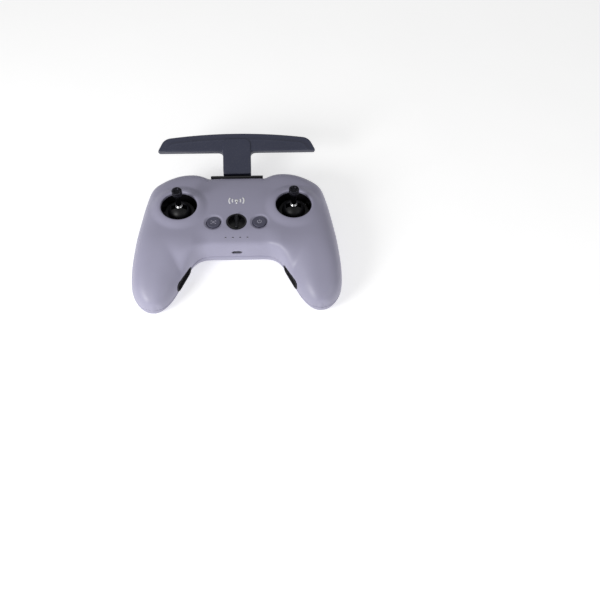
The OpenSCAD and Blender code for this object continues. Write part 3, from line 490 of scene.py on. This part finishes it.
def turned_metal(name, color, roughness, lines=(1, 1, 30), wear=0.4):
    """Metal with drawn-out tool marks along one direction."""
    material, tree, shader = new_material(name)
    place = tree.nodes.new("ShaderNodeTexCoord").outputs["Object"]
    stretch = tree.nodes.new("ShaderNodeMapping")
    stretch.inputs["Scale"].default_value = lines
    tree.links.new(place, stretch.inputs["Vector"])
    marks = noise(tree, stretch.outputs["Vector"], 600.0, 4.0, 0.65)
    edges = place_group(tree, WEAR, Amount=wear)
    dark = tuple(c * 0.82 for c in color)
    tint = blend(tree, remap(tree, marks, 0.35, 0.65), (*dark, 1), (*color, 1))
    lighter = tuple(min(1, c * 1.25 + 0.05) for c in color)
    tree.links.new(blend(tree, edges.outputs["Mask"], tint, (*lighter, 1)), shader.inputs["Base Color"])
    tree.links.new(remap(tree, marks, 0.3, 0.7, roughness - 0.06, roughness + 0.1), shader.inputs["Roughness"])
    relief = tree.nodes.new("ShaderNodeBump")
    relief.inputs["Strength"].default_value = 0.12
    relief.inputs["Distance"].default_value = 0.0001
    tree.links.new(marks, relief.inputs["Height"])
    tree.links.new(relief.outputs["Normal"], shader.inputs["Normal"])
    shader.inputs["Metallic"].default_value = 1.0
    return material


def board_laminate(name):
    """Green solder mask over copper tracks."""
    material, tree, shader = new_material(name)
    place = tree.nodes.new("ShaderNodeTexCoord").outputs["Object"]
    tracks = tree.nodes.new("ShaderNodeTexBrick")
    tracks.inputs["Scale"].default_value = 260.0
    tracks.inputs["Mortar Size"].default_value = 0.03
    tracks.inputs["Color1"].default_value = (0.02, 0.16, 0.08, 1)
    tracks.inputs["Color2"].default_value = (0.02, 0.13, 0.07, 1)
    tracks.inputs["Mortar"].default_value = (0.05, 0.30, 0.14, 1)
    tree.links.new(place, tracks.inputs["Vector"])
    specks = remap(tree, noise(tree, place, 700.0, 3.0), 0.62, 0.7)
    tree.links.new(blend(tree, specks, tracks.outputs["Color"], (0.62, 0.52, 0.25, 1)), shader.inputs["Base Color"])
    shader.inputs["Roughness"].default_value = 0.32
    shader.inputs["Coat Weight"].default_value = 0.4
    return material


def printed(name, color, roughness=0.45):
    """Pad-printed mark: flat ink with faint pinholes."""
    material, tree, shader = new_material(name)
    place = tree.nodes.new("ShaderNodeTexCoord").outputs["Object"]
    holes = remap(tree, noise(tree, place, 2500.0, 2.0), 0.25, 0.4)
    faded = tuple(c * 0.85 for c in color)
    tree.links.new(blend(tree, holes, (*faded, 1), (*color, 1)), shader.inputs["Base Color"])
    shader.inputs["Roughness"].default_value = roughness
    return material


def frosted_light(name):
    material, tree, shader = new_material(name)
    place = tree.nodes.new("ShaderNodeTexCoord").outputs["Object"]
    cloud = noise(tree, place, 1500.0, 2.0)
    tree.links.new(blend(tree, cloud, (0.02, 0.02, 0.025, 1), (0.06, 0.06, 0.07, 1)), shader.inputs["Base Color"])
    shader.inputs["Roughness"].default_value = 0.25
    return material


SHELL_COLOR = (0.335, 0.325, 0.435)
ANTENNA_COLOR = (0.036, 0.040, 0.070)
KEY_COLOR = (0.072, 0.071, 0.112)
shell_plastic = moulded("shell_plastic", SHELL_COLOR, 0.46, variation=0.025, bump=0.05, wear=0.10, dust=0.05,
                        coat=0.08)
antenna_plastic = moulded("antenna_plastic", ANTENNA_COLOR, 0.42, variation=0.05, bump=0.10, wear=0.35, dust=0.06)
black_plastic = moulded("black_plastic", (0.008, 0.008, 0.010), 0.32, bump=0.08, wear=0.3, dust=0.03,
                        worn=(0.03, 0.03, 0.035))
gimbal_black = moulded("gimbal_black", (0.0035, 0.0035, 0.0045), 0.42, bump=0.05, wear=0.35, dust=0.02,
                       worn=(0.02, 0.02, 0.024), specular=0.3)
key_plastic = moulded("key_plastic", KEY_COLOR, 0.5, bump=0.08, wear=0.3, dust=0.08)
switch_plastic = moulded("switch_plastic", (0.02, 0.02, 0.021), 0.5)
rubber = moulded("rubber", (0.014, 0.014, 0.018), 0.72, bump=0.25, grain=2600.0, wear=0.15, dust=0.25,
                 specular=0.3)
battery_wrap = moulded("battery_wrap", (0.03, 0.07, 0.22), 0.3, bump=0.05, coat=0.3)
wire_sleeve = moulded("wire_sleeve", (0.36, 0.02, 0.02), 0.35, bump=0.05)
steel = turned_metal("steel", (0.55, 0.55, 0.57), 0.3)
bright_steel = turned_metal("bright_steel", (0.85, 0.85, 0.87), 0.28)
dark_steel = turned_metal("dark_steel", (0.035, 0.035, 0.04), 0.32, wear=0.7)
black_anodised = turned_metal("black_anodised", (0.03, 0.03, 0.038), 0.3, lines=(30, 30, 1), wear=0.9)
brass = turned_metal("brass", (0.62, 0.42, 0.16), 0.32)
board = board_laminate("circuit_board")
white_ink = printed("white_ink", (0.86, 0.86, 0.88))
grey_ink = printed("grey_ink", (0.42, 0.41, 0.50))
dark_lens = frosted_light("dark_lens")
light_plastic = moulded("light_plastic", (0.7, 0.71, 0.73), 0.3)

SLOT_MATERIALS = {
    "shell": shell_plastic, "antenna": antenna_plastic, "black_plastic": black_plastic, "key": key_plastic,
    "steel": steel, "dark_steel": dark_steel, "brass": brass, "circuit_board": board,
    "switch_plastic": switch_plastic, "battery_wrap": battery_wrap, "lead": wire_sleeve, "rubber": rubber,
    "light": light_plastic, "metal_stick": black_anodised,
}


def dress_nodes():
    """Gives every CAD node the procedural finish of its slot, except the gimbal frames and yokes, which get
    gimbal_black.
    """
    slots = {entry["node"]: entry["material_slot"] for entry in frame["record"]["subparts"]}
    for name, node in NODES.items():
        material = gimbal_black if name.endswith(("gimbal_frame", "_yoke")) else SLOT_MATERIALS[slots[name]]
        node.data.materials.clear()
        node.data.materials.append(material)


dress_nodes()

# ---------------------------------------------------------------- moulded shells
SHELL_STEP = 0.8
WINDOW_DEPTH = 6.5
BUTTON_WINDOW_R = 4.55
DIAL_WINDOW = (8.3, 3.4, 1.2)  # half its length, half its height and the rounding of its corners
ROCKER_WINDOW = (6.9, 3.5, 1.0)
SLIDER_WINDOW = (14.4, 4.6)  # length and height

# Where each control sits on the shoulders, and the turn of the edge there.
SHOULDER_PLACES = {"dial": (-36.0, 51.53), "pause": (-54.0, 51.68), "rocker": (-69.0, 44.53),
                   "record": (36.0, 51.53), "slider": (53.0, 51.92), "start": (69.0, 44.53)}
SHOULDER_TURNS = {"dial": -20.9, "pause": 14.3, "rocker": 35.5, "record": 20.9, "slider": -12.6, "start": -35.5}


def body_field(grid):
    """Distance from the outside of the body, with the recess for the folded antenna."""
    x, y, z = grid.x, grid.y, grid.z
    u, w = (part[:, :, None] for part in section_places(x[:, :, 0], y[:, :, 0]))
    middle_z = parting_height(x, y)
    reach = smooth((u - GRIP_START) / GRIP_BLEND)
    tip = np.sqrt(np.clip(1 - np.clip((u - TIP_START) / TIP_SPAN, 0, 1) ** 2.2, 0.002, 1))
    above = z > middle_z
    depth = np.where(above, face_height(x, y) - middle_z, middle_z - back_height(x))
    rise = np.clip(np.abs(z - middle_z) / (depth * tip), 0, 1.6)
    lip = 1 + UPPER_LIP * (1 - reach) * np.minimum(rise, 1) ** 1.5
    draft = np.where(w > 0, 1, np.where(above, lip, 1 - REAR_DRAFT * np.minimum(rise, 1) ** 2))
    inside_power = np.where(above, *INSIDE_POWERS) * (1 - reach) + GRIP_POWER * reach
    outside_power = np.where(above, *OUTSIDE_POWERS) * (1 - reach) + GRIP_POWER * reach
    power = np.where(w < 0, inside_power, outside_power)
    across = np.clip(np.abs(w) / draft, 0, 1.5)
    round_power = np.where(above, *ROUND_POWERS)
    level = (across ** power + rise ** round_power) ** (1 / round_power) - 1
    body = np.clip(grid.distance(level), -8, 8)
    body = meet(body, -z, FOOT_EDGE)
    plane = (z - channel_height(y)) * math.cos(STOW_ANGLE)
    bar_space = np.maximum(plane, STEM_LENGTH - 0.9 - np.hypot(y - HINGE_Y, z - HINGE_Z))
    stem_space = np.maximum(plane, np.abs(x) - CHANNEL_HALF)
    space = np.maximum(join(bar_space, stem_space, STOW_FILLET), GROOVE_Y - y)
    return cut(body, space, STOW_EDGE)


def round_hole(grid, x, y, radius):
    return np.hypot(grid.x - x, grid.y - y) - radius


def local_frame(grid, place, turn):
    """Coordinates along an edge, out of it, and up from a place on it."""
    c, s = math.cos(turn), math.sin(turn)
    dx, dy = grid.x - place[0], grid.y - place[1]
    return dx * c + dy * s, -dx * s + dy * c, grid.z - place[2]


def slot_shape(a, b, length, height):
    """Round-ended slot, length by height, in the plane of a and b."""
    return np.hypot(np.maximum(np.abs(a) - (length - height) / 2, 0), b) - height / 2


def box_shape(a, b, half_a, half_b, corner):
    qa, qb = np.abs(a) - half_a + corner, np.abs(b) - half_b + corner
    return np.hypot(np.maximum(qa, 0), np.maximum(qb, 0)) + np.minimum(np.maximum(qa, qb), 0) - corner


def clip_frame(grid, side):
    """Coordinates of the stick clip on the inner side of a grip."""
    c, s = math.cos(CLIP_TURN), math.sin(CLIP_TURN)
    dx, dy = side * grid.x - CLIP_PLACE[0], grid.y - CLIP_PLACE[1]
    return dx * c + dy * s, -dx * s + dy * c, grid.z - middle("right_stick_clip")[2]


def clip_opening(grid, side):
    a, b, c = clip_frame(grid, side)
    return np.maximum(slot_shape(a, c, *CLIP_MOUTH), -CLIP_DEPTH - b)


def hollow(grid, body):
    """The moulded wall, left solid in the tips of the grips."""
    return cut(body, np.maximum(body + WALL, SOLID_TIP_Y - grid.y), 0.5)


def front_field(grid, body):
    seam = parting_height(grid.x, grid.y) + SHELL_GAP / 2 - grid.z
    shell = meet(hollow(grid, body), seam, SEAM_ROUNDING)
    tongue = np.maximum(np.maximum(body + TONGUE_SETBACK, -body - WALL + 0.2), seam - TONGUE_REACH)
    shell = join(shell, tongue, 0.2)
    collar = np.maximum(np.abs(np.hypot(np.abs(grid.x) - GIMBAL[0], grid.y - GIMBAL[1]) - WELL_R - 1) - 1,
                        COLLAR_BOTTOM - grid.z)
    shell = join(shell, np.maximum(collar, body + 0.3), 0.8)
    for side in (-1, 1):
        shell = cut(shell, round_hole(grid, side * GIMBAL[0], GIMBAL[1], WELL_R - 0.3), 1.1)
        button = round_hole(grid, side * BUTTON[0], BUTTON[1], BUTTON_R + 0.15)
        dish = np.maximum(round_hole(grid, side * BUTTON[0], BUTTON[1], BUTTON_R + BUTTON_DISH[0]),
                          FACE_Z - BUTTON_DISH[1] - grid.z)
        shell = cut(cut(shell, dish, 1.4), button, 0.5)
        shell = cut(shell, clip_opening(grid, side), 0.8)
    shell = cut(shell, round_hole(grid, 0, CUP_Y, CUP_R), 1.2)
    usb = np.maximum(slot_shape(grid.x, grid.z - USB_Z, *USB_MOUTH), grid.y + 28)
    return cut(shell, usb, 0.5)


def shoulder_openings(grid):
    """Windows for the controls on the shoulders."""
    space = np.full(grid.x.shape, 9.0)
    shoulder_z = middle("pause_button")[2]
    for key, place in SHOULDER_PLACES.items():
        a, b, c = local_frame(grid, (*place, shoulder_z), math.radians(SHOULDER_TURNS[key]))
        if key == "dial":
            window = box_shape(a, c, *DIAL_WINDOW)
        elif key == "rocker":
            window = box_shape(a, c, *ROCKER_WINDOW)
        elif key == "slider":
            window = slot_shape(a, c, *SLIDER_WINDOW)
        else:
            window = np.hypot(a, c) - BUTTON_WINDOW_R
        space = np.minimum(space, np.maximum(window, -WINDOW_DEPTH - b))
    return space


def rear_field(grid, body):
    seam = grid.z - parting_height(grid.x, grid.y) + SHELL_GAP / 2
    shell = meet(hollow(grid, body), seam, SEAM_ROUNDING)
    for x, y in SCREW_PLACES:
        for side in (-1, 1):
            head_z = parting_height(np.array(x), np.array(y)) - SCREW_GRIP
            well = round_hole(grid, side * x, y, SCREW_HEAD_R)
            post = np.maximum(round_hole(grid, side * x, y, SCREW_POST_R), body + 0.4)
            shell = join(shell, np.maximum(post, grid.z - head_z - 1.5), 0.5)
            shell = cut(shell, np.maximum(well, grid.z - head_z), 0.6)
    for side in (-1, 1):
        shell = cut(shell, clip_opening(grid, side), 0.8)
    return cut(shell, shoulder_openings(grid), 0.6)


def make_shells():
    lowest, highest = low("rear_shell"), high("front_shell")
    margin = 3 * SHELL_STEP
    for name, node, field, bottom, top in (
            ("front_cover", "front_shell", front_field, low("front_shell")[2] - 3, highest[2] + margin),
            ("rear_cover", "rear_shell", rear_field, lowest[2] - margin, high("rear_shell")[2] + 3)):
        grid = Grid((lowest[0] - margin, lowest[1] - margin, bottom),
                    (highest[0] + margin, highest[1] + margin, top), SHELL_STEP)
        points, faces = grid.surface(field(grid, body_field(grid)))
        SHELLS[name] = mesh_piece(name, points, faces, "body", [node], shell_plastic)


def surface_z(x, y):
    """Height of the front cover's outer surface over a place."""
    found, hit, _, _ = SHELLS["front_cover"].ray_cast(Vector((x, y, 100)) * MM, Vector((0, 0, -1)))
    return hit.z / MM if found else FACE_Z


SHELLS = {}
make_shells()


# ---------------------------------------------------------------- folding antenna
ANTENNA_STEP = 0.55


def bar_top(x):
    return ANTENNA_LENGTH - 4.6 * (x / (BAR_HALF - 7.5)) ** 2


def antenna_field(grid, front):
    """Grid axes here are: across, away from the hinge, and out of the front face."""
    across, out, up = np.abs(grid.x), grid.y, grid.z
    half = ANTENNA_THICKNESS / 2
    top_edge = out - bar_top(across)
    end_corner = np.array([BAR_HALF, STEM_LENGTH + 2.0])
    end_top = np.array([BAR_HALF - 5.2, bar_top(BAR_HALF - 7.5) - 1.0])
    lean = (end_top - end_corner) / np.linalg.norm(end_top - end_corner)
    end_edge = (across - end_corner[0]) * lean[1] - (out - end_corner[1]) * lean[0]
    rim = meet(top_edge, end_edge, 5.0)
    bar = meet(rim, STEM_LENGTH - out, 2.2)
    stem = np.maximum(np.maximum(across - STEM_HALF, 5.0 - out), out - ANTENNA_LENGTH + 2)
    stem_arch = box_shape(across, out - (ANTENNA_LENGTH - 5) / 2 - 1, STEM_HALF, (ANTENNA_LENGTH - 5) / 2 - 2, 6.0)
    split = -1.0
    if front:
        crease = rim + BEVEL_WIDTH
        bar_face = half - BEVEL_SLOPE * np.clip(crease, 0, BEVEL_WIDTH) + CREASE_HEIGHT * np.exp(-(crease / 0.7) ** 2)
        plate = meet(bar, up - bar_face, 0.9)
        ridge = meet(meet(stem_arch, up - half - RIDGE_HEIGHT, 1.0), 5.0 - out, 0.4)
        web = meet(join(bar, np.maximum(across - STEM_HALF, out - STEM_LENGTH - 6), 5.5), up - half + 0.9, 1.0)
        web = np.maximum(web, 5.0 - out)
        solid = join(join(plate, web, 0.8), ridge, 0.6)
        solid = np.maximum(solid, split + 0.05 - up)
    else:
        plate = meet(join(bar, stem, 5.5), -half - up, 1.8)
        barrel = np.maximum(np.hypot(out, up) - half - 0.1, across - STEM_HALF)
        neck = np.maximum(np.maximum(np.abs(up + half / 2 + 0.5) - half / 2 + 0.5, across - STEM_HALF),
                          np.maximum(-out, out - 8))
        solid = np.maximum(plate, up - split + 0.05)
        solid = join(solid, join(meet(barrel, across - STEM_HALF, 0.6), neck, 0.6), 0.4)
        bore = np.maximum(np.hypot(out, up) - HINGE_BORE_R, -across + 4)
        solid = cut(solid, bore, 0.3)
        for x, y in ((8, 11), (62, STEM_LENGTH + 6)):
            head = np.maximum(np.hypot(across - x, out - y) - 1.8, up + half - 0.8)
            solid = cut(solid, head, 0.3)
    return solid


def make_antenna():
    rotation = np.array(Matrix.Rotation(ANTENNA_REST, 3, "X"))
    hinge = np.array([0, HINGE_Y, HINGE_Z])
    half = ANTENNA_THICKNESS / 2
    for name, front in (("antenna_face", True), ("antenna_back", False)):
        grid = Grid((-BAR_HALF - 2, -half - 1.5, -half - 1.5), (BAR_HALF + 2, ANTENNA_LENGTH + 1.5, half + 2),
                    ANTENNA_STEP)
        points, faces = grid.surface(antenna_field(grid, front))
        points = points @ rotation.T + hinge
        node = "antenna_front_cover" if front else "antenna_rear_cover"
        mesh_piece(name, points, faces, "antenna", [node], antenna_plastic)


make_antenna()


# ---------------------------------------------------------------- turned and small pieces
def turn_profile(profile, steps, radius_of=None):
    """Points and faces of a profile of (radius, height) turned about Z.

    A function radius_of(angle, height, radius) may ripple it.
    """
    points, faces = [], []
    count = len(profile)
    for i in range(steps):
        angle = 2 * math.pi * i / steps
        for r, z in profile:
            reach = radius_of(angle, z, r) if radius_of else r
            points.append((reach * math.cos(angle), reach * math.sin(angle), z))
    for i in range(steps):
        j = (i + 1) % steps
        for k in range(count - 1):
            faces.append((i * count + k, j * count + k, j * count + k + 1, i * count + k + 1))
    foot, crown = len(points), len(points) + 1
    points += [(0, 0, profile[0][1]), (0, 0, profile[-1][1])]
    for i in range(steps):
        j = (i + 1) % steps
        faces.append((foot, j * count, i * count))
        faces.append((crown, i * count + count - 1, j * count + count - 1))
    return np.array(points), faces


def rounded_profile(corners, steps=5):
    """Replaces each inner corner (r, z, radius) by an arc."""
    result = []
    for i, (r, z, radius) in enumerate(corners):
        here = np.array([r, z], float)
        if radius == 0 or i in (0, len(corners) - 1):
            result.append(here)
            continue
        before = np.array(corners[i - 1][:2], float) - here
        after = np.array(corners[i + 1][:2], float) - here
        a = here + before / np.linalg.norm(before) * radius
        b = here + after / np.linalg.norm(after) * radius
        for k in range(steps + 1):
            t = k / steps
            result.append((1 - t) ** 2 * a + 2 * t * (1 - t) * here + t ** 2 * b)
    return [(float(r), float(z)) for r, z in result]


STICK_END_R = 4.7


def make_stick_end(side):
    """Knurled, flared end of a stick with a toothed crown."""
    prefix = "left" if side < 0 else "right"
    bottom, top = low(prefix + "_stick_end")[2], high(prefix + "_stick_end")[2]
    r = STICK_END_R
    corners = [(0.01, bottom, 0), (2.35, bottom, 0.3), (2.55, bottom + 0.6, 0.3), (2.45, bottom + 4, 1.5),
               (2.75, top - 9.5, 1.5), (3.3, top - 7.2, 0.8), (4.3, top - 5.4, 0.5), (r, top - 4.9, 0.25),
               (r, top - 2.9, 0.15), (r - 0.45, top - 2.7, 0.1), (r - 0.45, top - 2.3, 0.1), (r, top - 2.1, 0.15),
               (r, top - 0.5, 0.3), (r - 0.6, top, 0.3), (2.6, top, 0.3), (2.1, top - 1.0, 0.4),
               (1.3, top - 1.2, 0.3), (0.01, top - 1.2, 0)]

    def knurl(angle, z, radius):
        if z < top - 5.2 or radius < 3.0:
            return radius
        return radius - 0.28 * max(0, math.cos(angle * 24)) ** 2 * smooth((radius - 3.0) / 1.2)

    points, faces = turn_profile(rounded_profile(corners), 144, knurl)
    points[:, 2] -= np.where((points[:, 2] > top - 0.4) & (np.hypot(points[:, 0], points[:, 1]) > 2.6),
                             0.35 * np.maximum(0, np.cos(np.arctan2(points[:, 1], points[:, 0]) * 12)) ** 2, 0)
    points[:, :2] += (side * GIMBAL[0], GIMBAL[1])
    mesh_piece(prefix + "_thumb_end", points, faces, prefix + "_stick", [prefix + "_stick_end"],
               black_anodised)


def make_shaft_collar(side):
    """Bright ring around the foot of a stick."""
    prefix = "left" if side < 0 else "right"
    z = high(prefix + "_yoke")[2] + 0.35
    corners = [(1.92, z, 0), (3.3, z, 0.1), (3.3, z + 0.3, 0.1), (2.3, z + 1.5, 0.2), (1.92, z + 1.5, 0)]
    points, faces = turn_profile(rounded_profile(corners), 64)
    points[:, :2] += (side * GIMBAL[0], GIMBAL[1])
    mesh_piece(prefix + "_shaft_collar", points, faces, prefix + "_stick", material=bright_steel)


def make_face_button(side):
    """Round key with a soft edge and a shallow thumb dish."""
    node = "custom_button" if side < 0 else "power_button"
    body = "custom_key" if side < 0 else "power_key"
    bottom, top = low(node)[2], high(node)[2]
    corners = [(0.01, bottom, 0), (1.5, bottom, 0.2), (1.5, top - 4.6, 0.2), (BUTTON_R + 0.9, top - 4.6, 0.2),
               (BUTTON_R + 0.9, top - 3.4, 0.2), (BUTTON_R, top - 3.4, 0.2), (BUTTON_R, top, 0.75),
               (BUTTON_R - 1.4, top, 0.6), (3.2, top - 0.28, 1.0), (0.01, top - 0.3, 0)]
    points, faces = turn_profile(rounded_profile(corners), 96)
    points[:, :2] += (side * BUTTON[0], BUTTON[1])
    mesh_piece(node + "_cap", points, faces, body, [node], key_plastic)
    return top - 0.27


def stroke(path, width, z, closed=False):
    """Flat ribbon of even width along a path of (x, y) points."""
    path = np.array(path, float)
    after = np.roll(path, -1, 0) if closed else np.vstack([path[1:], 2 * path[-1] - path[-2]])
    before = np.roll(path, 1, 0) if closed else np.vstack([2 * path[0] - path[1], path[:-1]])
    direction = after - before
    direction /= np.linalg.norm(direction, axis=1)[:, None]
    side = np.stack([-direction[:, 1], direction[:, 0]], 1) * width / 2
    points = np.vstack([path + side, path - side])
    n = len(path)
    last = n if closed else n - 1
    faces = [(i, i + n, (i + 1) % n + n, (i + 1) % n) for i in range(last)]
    return np.column_stack([points, np.full(len(points), z)]), faces


def arc(radius, first, final, count=24, centre=(0, 0)):
    angles = np.radians(np.linspace(first, final, count))
    return np.column_stack([centre[0] + radius * np.cos(angles), centre[1] + radius * np.sin(angles)])


def disc(radius, z, centre=(0, 0), count=32):
    points = np.vstack([[centre[0], centre[1], z],
                        np.column_stack([arc(radius, 0, 360 - 360 / count, count, centre), np.full(count, z)])])
    return points, [(0, i, i % count + 1) for i in range(1, count + 1)]


def merge(shapes):
    points, faces, start = [], [], 0
    for some_points, some_faces in shapes:
        points.append(some_points)
        faces += [tuple(start + i for i in face) for face in some_faces]
        start += len(some_points)
    return np.vstack(points), faces


def make_mark(name, shapes, centre, body, material, thickness=0.05):
    """Thin printed mark, given a little thickness so that it is a closed solid."""
    points, faces = merge(shapes)
    points[:, :2] += centre
    piece = mesh_piece(name, points, faces, body, material=material)
    solid = piece.modifiers.new("thickness", "SOLIDIFY")
    solid.thickness = thickness * MM
    solid.offset = 1
    return piece


def power_mark(z):
    dashes = [stroke(arc(3.9, a, a + 58, 10), 0.55, z) for a in range(16, 360, 90)]
    symbol = [stroke(arc(1.75, 125, 415, 24), 0.5, z), stroke([(0, 0.5), (0, 2.3)], 0.5, z)]
    return symbol + dashes


def frame_mark(z):
    """Generic square bracket pictogram for the key whose job the user chooses."""
    corners = []
    for sx, sy in ((1, 1), (-1, 1), (-1, -1), (1, -1)):
        corners.append(stroke([(sx * 2.2, sy * 0.8), (sx * 2.2, sy * 1.7), (sx * 1.2, sy * 1.7)], 0.5, z))
    return corners + [stroke(arc(0.8, 0, 345, 24), 0.5, z, closed=True)]


def wave_mark(z):
    """Generic radio waves over a mast."""
    waves = [stroke(arc(r, a - 32, a + 32, 14), 1.35, z) for r in (3.9, 6.9) for a in (0, 180)]
    return waves + [disc(1.7, z), stroke([(0, -0.8), (0, -3.9)], 1.35, z)]


def make_marks():
    for side in (-1, 1):
        z = make_face_button(side)
        name, shapes, body = (("chosen_key_mark", frame_mark(z), "custom_key") if side < 0
                              else ("power_mark", power_mark(z), "power_key"))
        make_mark(name, shapes, (side * BUTTON[0], BUTTON[1]), body, grey_ink)
    mark_y = 11.5
    z = surface_z(0, mark_y) + 0.03
    make_mark("radio_mark", wave_mark(z), (0, mark_y), "body", white_ink, 0.06)
    make_mark("battery_lights", [disc(0.8, surface_z(x, LED_Y) + 0.02, (x, 0)) for x in LED_X], (0, LED_Y), "body",
              dark_lens, 0.06)


def make_light_guide():
    """Bar of clear plastic with a peg up to each charge light."""
    bottom = low("light_guide")[2]
    shapes = []
    for x in LED_X:
        top = surface_z(x, LED_Y) - 0.25
        points, faces = turn_profile([(0.01, bottom + 0.8), (0.9, bottom + 0.8), (0.9, top), (0.01, top)], 24)
        shapes.append((points + (x, LED_Y, 0), faces))
    corners = [(LED_X[0] - 1.6, -1.4), (LED_X[-1] + 1.6, -1.4), (LED_X[-1] + 1.6, 1.4), (LED_X[0] - 1.6, 1.4)]
    slab = [(x, LED_Y + y, bottom + rise) for rise in (0, 1.6) for x, y in corners]
    sides = [(i, (i + 1) % 4, (i + 1) % 4 + 4, i + 4) for i in range(4)]
    shapes.append((np.array(slab), sides + [(3, 2, 1, 0), (4, 5, 6, 7)]))
    points, faces = merge(shapes)
    mesh_piece("charge_light_guide", points, faces, "body", ["light_guide"], light_plastic)


make_light_guide()
for side in (-1, 1):
    make_stick_end(side)
    make_shaft_collar(side)
make_marks()


# ---------------------------------------------------------------- floor and light
FLOOR_REACH = 3.0
FLOOR_GLOW = 0.5
SKY_STRENGTH = 0.38
LIGHT_AIM = (0, 0, 0.03)


def emitter(name, place, size, power):
    data = bpy.data.lights.new(name, "AREA")
    data.shape = "RECTANGLE"
    data.size, data.size_y = size
    data.energy = power
    lamp = bpy.data.objects.new(name, data)
    lamp.location = place
    lamp.rotation_euler = (Vector(LIGHT_AIM) - Vector(place)).to_track_quat("-Z", "Y").to_euler()
    bpy.context.scene.collection.objects.link(lamp)


def make_stage():
    mesh = bpy.data.meshes.new("floor")
    corners = [(i * FLOOR_REACH, j * FLOOR_REACH, 0) for i, j in ((-1, -1), (1, -1), (1, 1), (-1, 1))]
    mesh.from_pydata(corners, [], [(0, 1, 2, 3)])
    floor = bpy.data.objects.new("floor", mesh)
    bpy.context.scene.collection.objects.link(floor)
    material, tree, shader = new_material("paper")
    place = tree.nodes.new("ShaderNodeTexCoord").outputs["Object"]
    tree.links.new(blend(tree, noise(tree, place, 12.0), (0.80, 0.80, 0.80, 1), (0.84, 0.84, 0.84, 1)),
                   shader.inputs["Base Color"])
    shader.inputs["Roughness"].default_value = 0.9
    shader.inputs["Emission Color"].default_value = (1, 1, 1, 1)
    shader.inputs["Emission Strength"].default_value = FLOOR_GLOW
    mesh.materials.append(material)
    emitter("key", (-0.42, -0.40, 0.34), (0.25, 0.25), 2.75)
    emitter("fill", (0.55, -0.35, 0.35), (0.3, 0.3), 0.55)
    world = bpy.data.worlds.new("studio")
    world.use_nodes = True
    sky = world.node_tree.nodes["Background"]
    sky.inputs["Color"].default_value = (1, 1, 1, 1)
    sky.inputs["Strength"].default_value = SKY_STRENGTH
    bpy.context.scene.world = world
    bpy.context.scene.view_settings.view_transform = "Standard"


make_stage()
bpy.context.view_layer.update()
